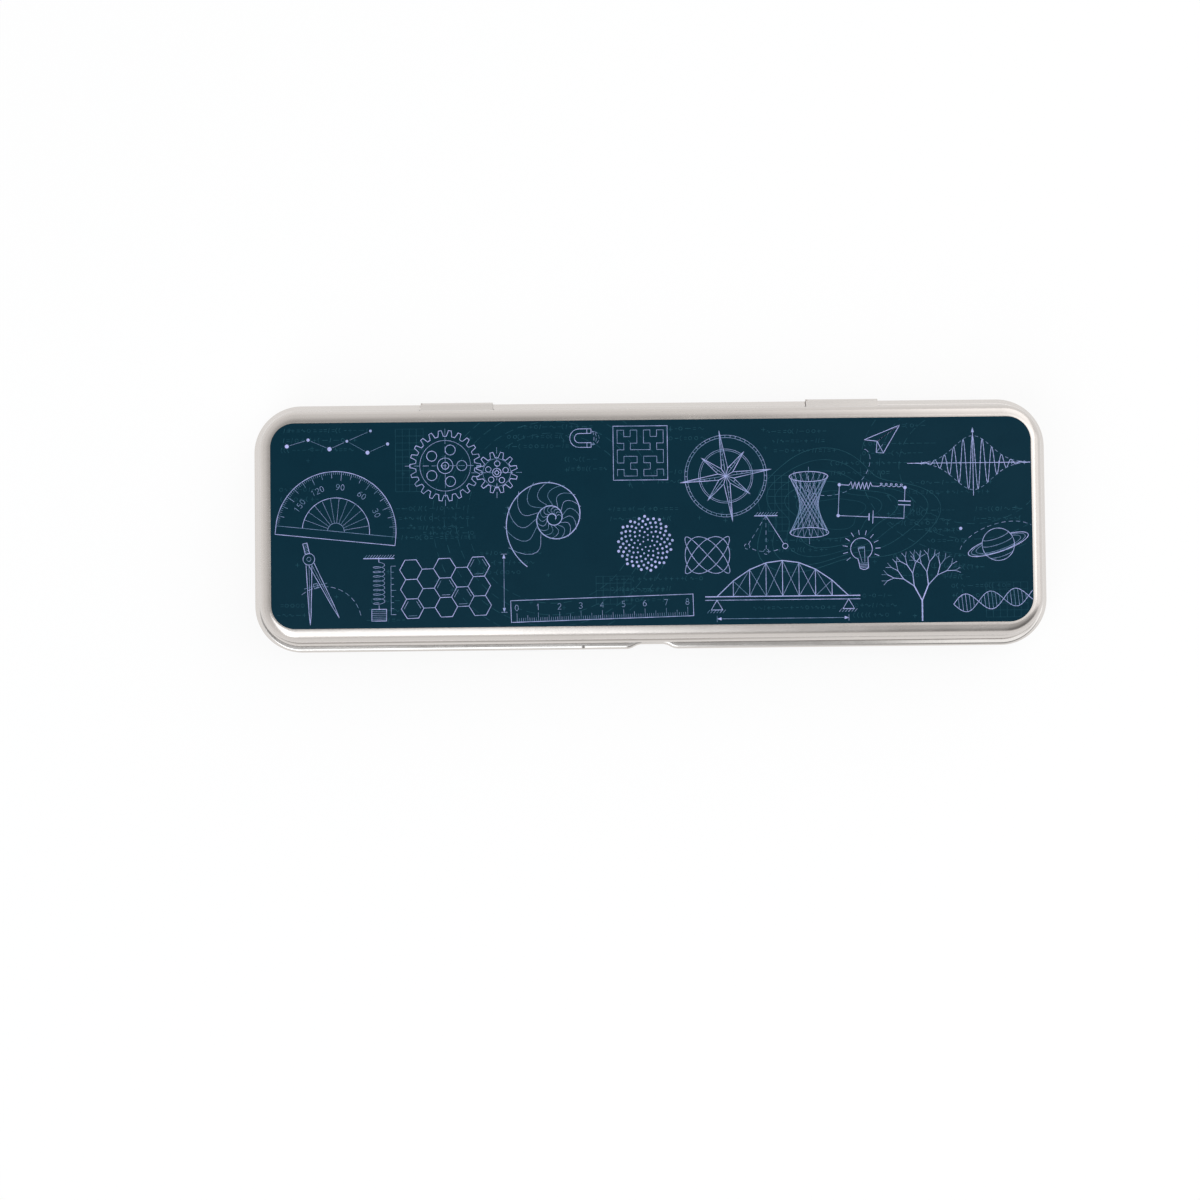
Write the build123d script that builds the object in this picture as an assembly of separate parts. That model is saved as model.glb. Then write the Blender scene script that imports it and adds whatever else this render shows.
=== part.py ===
from build123d import *
from math import atan, degrees
import os

# A hinged pencil tin of drawn tinplate, lying flat and closed.
# X runs along the tin, Y from its front to its hinge side, Z up.
# The origin is under the middle of the outline, on the surface the tin stands on.
# Lengths are millimetres and angles are degrees.

# Overall size, over the bead that runs round the base
overall_length = 207.5
overall_width = 64.7
lid_top = 20.0
corner_radius = 12.4
sheet = 0.3
bend = 0.3

# Base: a drawn pan with one bead pressed out of its wall
bead_radius = 1.1
bead_height = 8.7
neck_height = 4.4
edge_curl_radius = 0.6
edge_curl_wrap = 285
base_bottom_radius = 2.5
foot_width = 2.9
panel_slope = 1.0
panel_rise = 0.5

# Thumb notch, where the front of the bead is pressed in: its level middle, and each curved end
notch_flat = 5.2
notch_ease = 4.2

# Lid: a drawn cap that slips over the neck, with an outward rolled hem
lid_setback = 2.45
neck_clearance = 0.35
rest_gap = 0.1
shoulder_radius = 3.0
hem_radius = 0.72
hem_wrap = 290

# Strap hinges: tongues of the lid's sheet, curled round the back of the bead
hinge_spacing = 101.0
strap_width = 18.9
strap_clearance = 0.15
strap_wrap_below = 100
strap_relief = 0.4
slot_side_gap = 0.5
bead_lip_below = 60

# Printed panel on top of the lid
print_thickness = 0.1
print_margin_ends = 0.0
print_margin_sides = 0.3
print_corner_radius = 6.3

# Places that follow from the sizes above, measured inwards from the overall outline.
# The notch brings the bead back until it stands level with the outside of the lid's hem.
wall_setback = lid_setback + sheet + neck_clearance
leg_end = wall_setback - bend
hem_setback = lid_setback + sheet - hem_radius
notch_depth = hem_setback - hem_radius
shoulder_end = lid_setback + shoulder_radius
foot_start = wall_setback + base_bottom_radius
foot_end = foot_start + foot_width
panel_start = foot_end + panel_slope

# Heights that follow
bead_top = bead_height + bead_radius
bead_underside = bead_height - bead_radius
neck_top = bead_top + neck_height
hem_height = bead_top + rest_gap + hem_radius
strap_inner_radius = bead_radius + strap_clearance
strap_outer_radius = strap_inner_radius + sheet
strap_top = bead_height + strap_outer_radius
shoulder_height = lid_top - shoulder_radius

# Straight stretches between the corners, and the thumb notch's length
front_half = overall_length / 2 - corner_radius
side_half = overall_width / 2 - corner_radius
notch_half = notch_flat / 2 + notch_ease


def strip(inset_0, inset_1, z_0, z_1):
    """A flat stretch of sheet in a section. Insets are measured in from the overall outline."""
    middle = Pos(-(inset_0 + inset_1) / 2, (z_0 + z_1) / 2)
    return Plane.XZ * middle * Rectangle(abs(inset_1 - inset_0), z_1 - z_0)


def curve(inset, z, inner, start, sweep):
    """A bend or curl of sheet about a centre. Angle 0 points outwards, and 90 points up."""
    outer = inner + sheet
    centre = (-inset, z)
    outer_arc = CenterArc(centre, outer, start, sweep)
    inner_arc = CenterArc(centre, inner, start, sweep)
    first = Line(outer_arc @ 0, inner_arc @ 0)
    last = Line(outer_arc @ 1, inner_arc @ 1)
    return Plane.XZ * make_face([outer_arc, last, inner_arc, first])


def floor_section():
    """The foot ring that stands on the table, and the slope up to the raised panel."""
    bottom_bend = curve(foot_start, base_bottom_radius, base_bottom_radius - sheet, 270, 90)
    foot = strip(foot_start, foot_end, 0, sheet)
    slope = Plane.XZ * make_face(
        Polyline(
            (-foot_end, 0),
            (-panel_start, panel_rise),
            (-panel_start, panel_rise + sheet),
            (-foot_end, sheet),
            close=True,
        )
    )
    panel = strip(panel_start, corner_radius, panel_rise, panel_rise + sheet)
    return bottom_bend + foot + slope + panel


def wall_section():
    """The base's wall below the bead, with its bend out into the bead."""
    wall = strip(wall_setback, wall_setback + sheet, base_bottom_radius, bead_underside - bend)
    return wall + curve(leg_end, bead_underside - bend, bend, 90, 90)


def neck_section():
    """The neck above the bead, that the lid slips over, with its edge curled inwards."""
    curl_height = neck_top - edge_curl_radius
    bend_up = curve(leg_end, bead_top + bend, bend, 180, 90)
    neck = strip(wall_setback, wall_setback + sheet, bead_top + bend, curl_height)
    curl_inset = wall_setback + edge_curl_radius
    curl = curve(curl_inset, curl_height, edge_curl_radius - sheet, 0, edge_curl_wrap)
    return bend_up + neck + curl


def bead_section():
    """The half round of the bead, without the flat legs that join it to the wall."""
    return curve(bead_radius, bead_height, bead_radius - sheet, -90, 180)


def upper_leg_section():
    """The flat on top of the bead, under the lid's hem."""
    return strip(bead_radius, leg_end, bead_top - sheet, bead_top)


def lower_leg_section():
    """The flat under the bead."""
    return strip(bead_radius, leg_end, bead_underside, bead_underside + sheet)


def strap_path():
    """The round that a strap needs as it turns on the bead, cut from whatever reaches into it."""
    return Plane.XZ * Pos(-bead_radius, bead_height) * Circle(strap_outer_radius + strap_clearance)


def pan_section():
    """The base's whole section, from the raised panel out to the bead and up to the curled edge."""
    bead = bead_section() + upper_leg_section() + lower_leg_section()
    return floor_section() + wall_section() + bead + neck_section()


def slotted_section():
    """The base's section at a hinge slot, where the underside of the bead is cut away."""
    lip = curve(bead_radius, bead_height, bead_radius - sheet, -bead_lip_below, 90 + bead_lip_below)
    wall = wall_section() - strap_path()
    return floor_section() + wall + neck_section() + upper_leg_section() + lip


def cap_section(hemmed):
    """The lid's section: flat top, rounded shoulder and skirt, with the rolled hem where asked."""
    top = strip(shoulder_end, corner_radius, lid_top - sheet, lid_top)
    shoulder = curve(shoulder_end, shoulder_height, shoulder_radius - sheet, 0, 90)
    skirt = strip(lid_setback, lid_setback + sheet, hem_height, shoulder_height)
    if not hemmed:
        return top + shoulder + skirt
    return top + shoulder + skirt + curve(hem_setback, hem_height, hem_radius - sheet, 180, hem_wrap)


def strap_section():
    """A hinge strap: out from the skirt's edge, over the bead, round its back and under it."""
    root_height = strap_top + bend
    root_inset = lid_setback - bend
    root = strip(lid_setback, lid_setback + sheet, root_height, shoulder_height)
    root_bend = curve(root_inset, root_height, bend, 180, 90)
    flat = strip(bead_radius, root_inset, strap_top - sheet, strap_top)
    wrap = curve(bead_radius, bead_height, strap_inner_radius, -strap_wrap_below, 90 + strap_wrap_below)
    return root + root_bend + flat + wrap


def stretch(section, start, end):
    """A straight stretch of a section, from one place to another along its side."""
    return Pos(0, start, 0) * extrude(section, amount=end - start, dir=(0, 1, 0))


def corner(section):
    """A quarter turn of a section, about the corner's upright axis."""
    return revolve(Pos(corner_radius, 0, 0) * section, axis=Axis.Z, revolution_arc=90)


def place_side(pieces, distance, turn):
    """Set the stretches of one side where they belong. Along a side, Y runs anticlockwise."""
    return [Rot(0, 0, turn) * Pos(distance, 0, 0) * piece for piece in pieces]


def shell(section, front, back, plate_z):
    """Join the four sides, the four corners and the flat plate in the middle into one sheet."""
    end = stretch(section, -side_half, side_half)
    pieces = place_side([end], overall_length / 2, 0) + place_side([end], overall_length / 2, 180)
    pieces += place_side(front, overall_width / 2, -90) + place_side(back, overall_width / 2, 90)
    for number, (x, y) in enumerate([(1, 1), (-1, 1), (-1, -1), (1, -1)]):
        turned = Rot(0, 0, 90 * number) * corner(section)
        pieces.append(Pos(x * front_half, y * side_half, 0) * turned)
    plate = Box(2 * front_half, 2 * side_half, sheet, align=(Align.CENTER, Align.CENTER, Align.MIN))
    return Pos(0, 0, plate_z) * plate + pieces


def with_hinges(section, hinge_section, half_width):
    """The back side, whose section changes at the two hinges."""
    left = hinge_spacing / 2 - half_width
    right = hinge_spacing / 2 + half_width
    places = [-front_half, -right, -left, left, right, front_half]
    sections = [section, hinge_section, section, hinge_section, section]
    return [stretch(s, a, b) for s, a, b in zip(sections, places, places[1:])]


def notch_bead():
    """The bead across the thumb notch: it swings in, runs level and swings out again."""
    swing = (notch_depth**2 + notch_ease**2) / (4 * notch_depth)
    turn = degrees(2 * atan(notch_depth / notch_ease))
    inner_centre = (-swing, -notch_half)
    outer_centre = (swing - notch_depth, -notch_flat / 2)
    bead = bead_section()
    first = revolve(
        Pos(0, -notch_half, 0) * bead, axis=Axis((*inner_centre, 0), (0, 0, 1)), revolution_arc=turn
    )
    second = revolve(
        Pos(-notch_depth, -notch_flat / 2, 0) * bead,
        axis=Axis((*outer_centre, 0), (0, 0, 1)),
        revolution_arc=turn,
    )
    level = Pos(-notch_depth, 0, 0) * stretch(bead, -notch_flat / 2, notch_flat / 2)

    into = CenterArc(inner_centre, swing - bead_radius, 0, turn)
    onto = CenterArc(outer_centre, swing + bead_radius, 180 + turn, -turn)
    middle = Line(onto @ 1, (-notch_depth - bead_radius, 0))
    close = Line((-notch_depth - bead_radius, 0), (-leg_end, 0))
    back = Line((-leg_end, 0), (-leg_end, -notch_half))
    start = Line((-leg_end, -notch_half), into @ 0)
    half_leg = extrude(make_face([into, onto, middle, close, back, start]), amount=sheet)
    half = [first, second]
    half += [Pos(0, 0, z) * half_leg for z in (bead_underside, bead_top - sheet)]
    return [level] + half + [mirror(piece, about=Plane.XZ) for piece in half]


def base_pan():
    """The bottom half of the tin, with the thumb notch in front and a slot for each strap behind."""
    section = pan_section()
    across_notch = floor_section() + wall_section()
    front = [
        stretch(section, -front_half, -notch_half),
        stretch(across_notch, -notch_half, notch_half),
        stretch(neck_section(), -notch_half, notch_half),
        stretch(section, notch_half, front_half),
    ]
    slot_half = strap_width / 2 + slot_side_gap
    back = with_hinges(section, slotted_section(), slot_half)
    return shell(section, front + notch_bead(), back, panel_rise)


def lid_shell():
    """The top half of the tin, with its two hinge straps."""
    section = cap_section(hemmed=True)
    front = [stretch(section, -front_half, front_half)]
    relief_half = strap_width / 2 + strap_relief
    back = with_hinges(section, cap_section(hemmed=False), relief_half)
    for middle in (-hinge_spacing / 2, hinge_spacing / 2):
        back.append(stretch(strap_section(), middle - strap_width / 2, middle + strap_width / 2))
    return shell(section, front, back, lid_top - sheet)


def lid_print():
    """The printed panel, a skin on the flat of the lid inside the bare metal shoulder."""
    length = overall_length - 2 * (shoulder_end + print_margin_ends)
    width = overall_width - 2 * (shoulder_end + print_margin_sides)
    outline = RectangleRounded(length, width, print_corner_radius)
    return Pos(0, 0, lid_top) * extrude(outline, amount=print_thickness)


export_step(base_pan(), "parts/base_pan.step")
export_step(lid_shell(), "parts/lid_shell.step")
export_step(lid_print(), "parts/lid_print.step")
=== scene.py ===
# %% [markdown]
# # A hinged pencil tin
# The real thing is two stampings of tinplate, each drawn from one flat sheet 0.3 mm thick, and a printed
# panel on the lid. The lid hangs on the base by two tongues of its own sheet, curled round the base's bead.
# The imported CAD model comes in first, as the fixed frame. It gives every piece its place and its size, and
# the pieces made here stand for its three nodes with smoother bends, finer rolled edges and a printed lid.

import math

import bmesh
import bpy
import mathutils
import numpy as np
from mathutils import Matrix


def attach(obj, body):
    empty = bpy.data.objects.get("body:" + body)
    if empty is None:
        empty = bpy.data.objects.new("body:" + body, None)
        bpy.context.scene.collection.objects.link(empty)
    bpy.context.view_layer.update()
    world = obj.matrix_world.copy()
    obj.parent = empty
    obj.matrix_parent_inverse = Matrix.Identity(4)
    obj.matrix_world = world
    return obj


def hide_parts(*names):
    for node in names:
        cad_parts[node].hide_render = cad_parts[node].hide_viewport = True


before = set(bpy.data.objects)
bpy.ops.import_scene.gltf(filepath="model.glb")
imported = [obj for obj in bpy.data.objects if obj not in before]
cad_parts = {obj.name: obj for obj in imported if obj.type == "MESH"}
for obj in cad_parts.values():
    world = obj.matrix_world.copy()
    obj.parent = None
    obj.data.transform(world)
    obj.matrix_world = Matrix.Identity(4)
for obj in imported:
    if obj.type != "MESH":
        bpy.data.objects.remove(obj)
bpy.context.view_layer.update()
MM = 0.001

# %% [markdown]
# ## Sizes of the tin
# These are the sizes that the CAD model has, in millimetres. Insets are measured inwards from the overall
# outline, so every stretch of the tin's long section keeps its numbers whichever way it faces. Sizes of a
# section are those of the line along the middle of the sheet.

# %% Sizes shared by the base and the lid
LENGTH, WIDTH, CORNER = 207.5, 64.7, 12.4
SHEET = 0.3
HALF_X = LENGTH / 2 - CORNER
HALF_Y = WIDTH / 2 - CORNER
BEAD_INSET, BEAD_Z = 1.1, 8.7
LEG_END, LEG_BEND = 2.8, 0.45
NOTCH_FLAT, NOTCH_EASE, NOTCH_DEPTH = 5.2, 4.2, 1.2
HINGE_X, STRAP_HALF, RELIEF_HALF, SLOT_HALF = 50.5, 9.45, 9.85, 9.95
print(f"corner centres at {HALF_X} and {HALF_Y} mm")

# %% [markdown]
# ## A section drawn as one bent line
# Pressed sheet is the same thickness everywhere, so its section is a single line with the sheet laid half
# on each side of it. The line is a chain of straight runs and bends, in two coordinates: how far out from
# the outline a point is (negative inside), and how high. Each point also keeps the direction of the sheet's
# right-hand face, found from the run or bend it belongs to, so that the two faces are exact and not
# guessed from neighbouring points. A row of points just inside each end of a run keeps flats flat when
# the surface is shaded smoothly.


# %% Runs and bends
NEAR_END, NEAR_SHARE = 0.12, 0.3


def ray(degrees):
    """The direction (cos a, sin a) of an angle, or a row of them for a list of angles."""
    a = np.radians(degrees)
    return np.stack([np.cos(a), np.sin(a)], -1)


def run(start, end, middle=0):
    """Points on a straight line: start + (end - start) * share, with a row close to each end. The right-hand
    normal is the direction turned a quarter turn clockwise."""
    start, end = np.array(start, float), np.array(end, float)
    length = np.hypot(*(end - start))
    near = min(NEAR_END / length, NEAR_SHARE)
    share = np.concatenate([[0, near], np.linspace(near, 1 - near, middle + 2)[1:-1], [1 - near, 1]])
    points = start + (end - start) * share[:, None]
    along = (end - start) / length
    return points, np.tile([along[1], -along[0]], (len(share), 1))


def turn(centre, radius, start, sweep, steps):
    """Points on an arc: centre + radius * (cos a, sin a). Anticlockwise arcs have the right-hand normal
    pointing away from the centre, and clockwise arcs towards it."""
    out = ray(start + sweep * np.linspace(0, 1, steps + 1))
    return np.array(centre, float) + radius * out, out * math.copysign(1, sweep)


def oval(centre, wide, high, start, sweep, steps):
    """Points on part of an ellipse: centre + (wide * cos a, high * sin a). The right-hand normal is square to
    the ellipse there: (cos a / wide, sin a / high), made one long."""
    spoke = ray(start + sweep * np.linspace(0, 1, steps + 1))
    out = spoke / (wide, high)
    return np.array(centre, float) + spoke * (wide, high), out / np.hypot(*out.T)[:, None]


def chain(*pieces):
    """The pieces end to end, without the doubled point at each joint, and the row where each piece ends."""
    points = [pieces[0][0]] + [p[1:] for p, n in pieces[1:]]
    normals = [pieces[0][1]] + [n[1:] for p, n in pieces[1:]]
    ends = np.cumsum([len(p) for p in points]) - 1
    return np.concatenate(points), np.concatenate(normals), ends


# %% [markdown]
# ## The path round the tin
# Both stampings follow the same rounded rectangle. Walking round it anticlockwise from the front left, each
# station keeps the point that its section hangs from and the direction in which the section points. Along a
# side the point slides and the direction stays, and round a corner the point stays and the direction turns.
# The long sides share one list of stations, so that the flat sheets between front and back are plain grids.


# %% Stations along the sides
def notch_curve():
    """The bead's line through the thumb notch, for the half left of its middle: an arc round an inner centre,
    then an equal one round an outer centre. Gives where along the side, how far out, and the turned angle."""
    swing = (NOTCH_DEPTH**2 + NOTCH_EASE**2) / (4 * NOTCH_DEPTH)
    full = 2 * math.atan(NOTCH_DEPTH / NOTCH_EASE)
    first = np.linspace(0, full, 11)
    last = first[-2::-1]
    half = NOTCH_FLAT / 2 + NOTCH_EASE
    small, large = swing - BEAD_INSET, swing + BEAD_INSET
    along = np.concatenate([-half + small * np.sin(first), -NOTCH_FLAT / 2 - large * np.sin(last)])
    out = np.concatenate([-swing + small * np.cos(first), swing - NOTCH_DEPTH - large * np.cos(last)])
    return along, out, np.concatenate([first, last])


def side_stations(half, count, *more):
    """Even places along a side, one more just inside each end of it, and those given."""
    inside = half - 0.4
    return np.unique(np.round(np.concatenate([np.linspace(-half, half, count), [-inside, inside], *more]), 6))


notch_x, notch_out, notch_angle = notch_curve()
hinge_edges = np.ravel([[HINGE_X - half, HINGE_X + half] for half in (STRAP_HALF, RELIEF_HALF, SLOT_HALF)])
side_x = side_stations(HALF_X, 31, notch_x, -notch_x, hinge_edges, -hinge_edges)
side_y = side_stations(HALF_Y, 11)
print(len(side_x), "stations on a long side,", len(side_y), "on an end")


def path():
    """One row per station: the corner-centre point (x, y), the direction (x, y), and the side's number, which
    is 0 in front, 2 behind and odd elsewhere."""
    rows = []
    sides = [
        (side_x, 0 * side_x - HALF_Y, -90),
        (0 * side_y + HALF_X, side_y, 0),
        (side_x[::-1], 0 * side_x + HALF_Y, 90),
        (0 * side_y - HALF_X, side_y[::-1], 180),
    ]
    for number, (x, y, facing) in enumerate(sides):
        rows.append(np.stack([x, y, 0 * x + facing, 0 * x + number], 1))
        bend = facing + np.linspace(0, 90, 21)[1:-1]
        rows.append(np.stack([0 * bend + x[-1], 0 * bend + y[-1], bend, 0 * bend + 9], 1))
    table = np.concatenate(rows)
    return table[:, :2], ray(table[:, 2]), table[:, 3].astype(int)


centre, facing, side = path()
along = np.stack([-facing[:, 1], facing[:, 0]], 1)
x_place = centre[:, 0]
frontness = np.clip(-facing[:, 1], 0, 1)
print(len(centre), "stations round the tin")


def within_hinge(half):
    """Columns that lie within this half width of a hinge's middle, on the back. A column is a station and
    the next one, and the back's stations run from +X to -X."""
    middle = (x_place + np.roll(x_place, -1)) / 2
    return (side == 2) & (np.roll(side, -1) == 2) & (abs(abs(middle) - HINGE_X) < half)


# %% [markdown]
# ## Sheet metal as a grid of cells
# A stamping is a grid: rows along its section, columns round the tin. Each cell that is there gives one face
# on each side of the sheet. Where a cell's neighbour is missing, as at a slot, a cut or the end of a curl,
# the open edge gets a narrow wall, and the shell stays closed. So a slot is only a few cells taken out of a
# mask, and no boolean is needed. It could also be done with a Solidify modifier, which would not give the
# small bends their exact inner and outer radius.


# %% Faces of a grid of sheet
def sheet_faces(present):
    """Faces of a closed sheet for a mask of cells, (rows - 1) by columns, the columns going round. Vertex
    r * columns + c is on the right-hand face, and the left-hand face follows after rows * columns."""
    rows, columns = present.shape[0] + 1, present.shape[1]
    right = np.arange(rows * columns).reshape(rows, columns)
    left = right + rows * columns
    ahead_r, ahead_l = np.roll(right, -1, 1), np.roll(left, -1, 1)
    up = np.vstack([present[1:], np.zeros((1, columns), bool)])
    down = np.vstack([np.ones((1, columns), bool), present[:-1]])
    walls = [
        (present, [right[:-1], ahead_r[:-1], ahead_r[1:], right[1:]]),
        (present, [left[:-1], left[1:], ahead_l[1:], ahead_l[:-1]]),
        (present & ~up, [right[1:], ahead_r[1:], ahead_l[1:], left[1:]]),
        (present & ~down, [right[:-1], left[:-1], ahead_l[:-1], ahead_r[:-1]]),
        (present & ~np.roll(present, -1, 1), [ahead_r[:-1], ahead_l[:-1], ahead_l[1:], ahead_r[1:]]),
        (present & ~np.roll(present, 1, 1), [right[:-1], right[1:], left[1:], left[:-1]]),
    ]
    return np.concatenate([np.stack([corner[where] for corner in corners], 1) for where, corners in walls])


def plate(height, face_up):
    """A flat rectangle between the corner centres, on the grid of the side stations."""
    x, y = np.meshgrid(side_x, side_y, indexing="ij")
    points = np.stack([x, y, 0 * x + height], -1).reshape(-1, 3)
    index = np.arange(x.size).reshape(x.shape)
    quad = [index[:-1, :-1], index[1:, :-1], index[1:, 1:], index[:-1, 1:]]
    return points, np.stack([q.ravel() for q in (quad if face_up else quad[::-1])], 1)


# %% [markdown]
# ## From numbers to a mesh
# A mesh is made in one go from whole arrays. Points that fall on one another, such as where the corner
# sections meet in a point or the plate meets the sections, are then merged, and edges sharper than 40
# degrees are marked so that cut edges stay crisp while bends shade smoothly. How worn or soiled each point
# is, and how much shade is painted on it, goes with the mesh as attributes, which the finish reads later.

# %% Mesh maker
SHARP_EDGE, MERGE_DISTANCE = math.radians(40), 2e-7


def piece(name, points, faces, attributes=None, merge=True):
    """An object at the origin, with its place in its points, in metres."""
    mesh = bpy.data.meshes.new(name)
    mesh.from_pydata((points * MM).tolist(), [], [list(map(int, face)) for face in faces])
    for key, values in (attributes or {}).items():
        mesh.attributes.new(key, "FLOAT", "POINT").data.foreach_set("value", values.astype(np.float32))
    if merge:
        work = bmesh.new()
        work.from_mesh(mesh)
        bmesh.ops.remove_doubles(work, verts=work.verts, dist=MERGE_DISTANCE)
        work.to_mesh(mesh)
        work.free()
    mesh.validate()
    mesh.polygons.foreach_set("use_smooth", np.ones(len(mesh.polygons), bool))
    mesh.set_sharp_from_angle(angle=SHARP_EDGE)
    obj = bpy.data.objects.new(name, mesh)
    bpy.context.scene.collection.objects.link(obj)
    triangles = sum(len(p.vertices) - 2 for p in mesh.polygons)
    print(f"{name}: {len(mesh.vertices)} points, {triangles} triangles")
    return obj


def hang(points, normals, offset):
    """Section points moved by offset times their right-hand normal and carried round the path: corner-centre
    point + facing * (corner radius + how far out). Gives rows by stations by 3."""
    moved = points + normals * offset
    out = moved[..., 0] + CORNER
    flat = centre[None] + facing[None] * out[..., None]
    return np.concatenate([flat, moved[..., 1:]], -1)


def stamping(name, right, left, present, middle, **marks):
    """A piece from the two faces of its sheet, each rows by stations by 3, and the mask of its cells. Two
    plates half a sheet below and above the middle height close it between the corners. A mark is an
    attribute: its values on the right-hand face, the left-hand face, the lower plate and the upper one."""
    low, low_faces = plate(middle - SHEET / 2, False)
    high, high_faces = plate(middle + SHEET / 2, True)
    points = np.concatenate([right.reshape(-1, 3), left.reshape(-1, 3), low, high])
    start = 2 * right[..., 0].size
    faces = np.concatenate([sheet_faces(present), low_faces + start, high_faces + start + len(low)])
    shapes = [right.shape[:2], left.shape[:2], len(low), len(high)]
    spread = {
        key: np.concatenate([np.ravel(np.broadcast_to(v, shape)) for v, shape in zip(values, shapes)])
        for key, values in marks.items()
    }
    return piece(name, points, faces, spread)


# %% [markdown]
# ## The base
# The base is a drawn pan. From the middle of its floor, the sheet runs out over a raised panel, down to the
# ring it stands on, round the bottom bend and up the wall. Half way up it is pressed out into a bead that
# goes all the way round, and above the bead it becomes the neck that the lid slips over, with its edge
# curled inwards. The CAD node has this shape in facets. Here it is a fine sweep with rounded presses, and
# the bead's upper face leans outwards. In front that face is shorter, which leaves a broader flat top.

# %% The base's section
FLOOR_Z, RING_Z = 0.65, SHEET / 2
SLOPE_TOP, SLOPE_FOOT, PRESS_BEND = 9.5, 8.5, 0.8
WALL_INSET, BOTTOM_BEND = LEG_END + LEG_BEND, 2.35
LEG_LOW, LEG_HIGH = 7.75, 9.65
CURL_Z, CURL_BEND, CURL_SWEEP, CURL_ROWS = 13.6, 0.45, 285, 20
NOSE_BEND, BROW_BEND, NOSE_Z, FRONT_NOSE_Z = 0.4, 0.3, 8.2, 9.0

panel_slope = math.degrees(math.atan((FLOOR_Z - RING_Z) / (SLOPE_TOP - SLOPE_FOOT)))
slope_reach = PRESS_BEND * math.tan(math.radians(panel_slope / 2))
upper_press = np.array([-SLOPE_TOP - slope_reach, FLOOR_Z - PRESS_BEND])
lower_press = np.array([-SLOPE_FOOT + slope_reach, RING_Z + PRESS_BEND])
slope_side = PRESS_BEND * ray(90 - panel_slope)


def base_section(nose_z):
    """The pan's section. The bead's upper face leans at 45 degrees, between a small round at its nose, at
    this height, and another at its brow, so that a higher nose leaves a broader flat top behind the brow."""
    lean = math.sqrt(0.5)
    bottom = (-WALL_INSET - BOTTOM_BEND, RING_Z + BOTTOM_BEND)
    nose = np.array([-SHEET / 2 - NOSE_BEND, nose_z])
    face_low = nose + NOSE_BEND * lean
    face_high = face_low + (LEG_HIGH - BROW_BEND * (1 - lean) - face_low[1]) * np.array([-1, 1])
    brow = face_high - BROW_BEND * lean
    under_bead = ((-BEAD_INSET, nose_z), BEAD_INSET - SHEET / 2, nose_z - LEG_LOW)
    return chain(
        run((-CORNER, FLOOR_Z), (upper_press[0], FLOOR_Z), 2),
        turn(upper_press, PRESS_BEND, 90, -panel_slope, 4),
        run(upper_press + slope_side, lower_press - slope_side),
        turn(lower_press, PRESS_BEND, 270 - panel_slope, panel_slope, 4),
        run((lower_press[0], RING_Z), (bottom[0], RING_Z), 2),
        turn(bottom, BOTTOM_BEND, 270, 90, 12),
        run((-WALL_INSET, bottom[1]), (-WALL_INSET, LEG_LOW - LEG_BEND), 3),
        turn((-LEG_END, LEG_LOW - LEG_BEND), LEG_BEND, 180, -90, 6),
        run((-LEG_END, LEG_LOW), (-BEAD_INSET, LEG_LOW)),
        oval(*under_bead, -90, 30, 4),
        oval(*under_bead, -60, 60, 8),
        turn(nose, NOSE_BEND, 0, 45, 6),
        run(face_low, face_high, 3),
        turn(brow, BROW_BEND, 45, 45, 5),
        run((brow[0], LEG_HIGH), (-LEG_END, LEG_HIGH), 3),
        turn((-LEG_END, LEG_HIGH + LEG_BEND), LEG_BEND, 270, -90, 6),
        run((-WALL_INSET, LEG_HIGH + LEG_BEND), (-WALL_INSET, CURL_Z), 2),
        turn((-WALL_INSET - CURL_BEND, CURL_Z), CURL_BEND, 0, CURL_SWEEP, 24),
    )


plain_points, plain_normals, base_ends = base_section(NOSE_Z)
front_points, front_normals, _ = base_section(FRONT_NOSE_Z)
base_points = plain_points[:, None] + (front_points - plain_points)[:, None] * frontness[None, :, None]
base_normals = plain_normals[:, None] + (front_normals - plain_normals)[:, None] * frontness[None, :, None]
base_normals /= np.linalg.norm(base_normals, axis=-1, keepdims=True)
RING_START, RING_END = base_ends[3:5]
LOW_BEND, LOW_LEG, LOW_BEAD = base_ends[7:10]
FACE_END, BROW_END, SHELF_END = base_ends[12:15]
print(len(base_points), "rows in the base's section")

# %% The base's faces
rows = np.arange(len(base_points))

# The bead's middle moves in across the notch, and its round turns with it.
bead_out = np.full(len(centre), -BEAD_INSET)
bead_turn = np.zeros(len(centre))
in_notch = (side == 0) & (abs(x_place) < NOTCH_FLAT / 2 + NOTCH_EASE)
notch_place = x_place[in_notch]
bead_out[in_notch] = np.interp(-abs(notch_place), notch_x, notch_out)
bead_turn[in_notch] = np.interp(-abs(notch_place), notch_x, notch_angle) * -np.sign(notch_place)


def base_face(offset):
    """One face of the pan. A row's weight is 1 on the bead and falls to 0 along the legs behind it. Across
    the notch each row slides in by its weight, and its reach from the line that it hangs on (the bead's
    line, or its own) is turned with that line."""
    across = base_points[..., 0]
    bent = (rows >= LOW_BEND) & (rows <= SHELF_END)
    weight = np.where(bent[:, None], np.clip((LEG_END + across) / (LEG_END - BEAD_INSET), 0, 1), 0)
    line = np.where(bent[:, None], np.minimum(across, -BEAD_INSET), across)
    reach = across - line + base_normals[..., 0] * offset
    turned = weight * bead_turn[None]
    out = line + weight * (bead_out + BEAD_INSET)[None] + reach * np.cos(turned) + CORNER
    surface = hang(base_points, base_normals, offset)
    flat = centre[None] + facing[None] * out[..., None]
    surface[..., :2] = flat + along[None] * (reach * np.sin(turned))[..., None]
    return surface


base_cells = np.ones((len(rows) - 1, len(centre)), bool)
slot_rows = (rows[:-1] >= LOW_BEND) & (rows[:-1] < LOW_BEAD)
base_cells[np.ix_(slot_rows, within_hinge(SLOT_HALF))] = False
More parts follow.
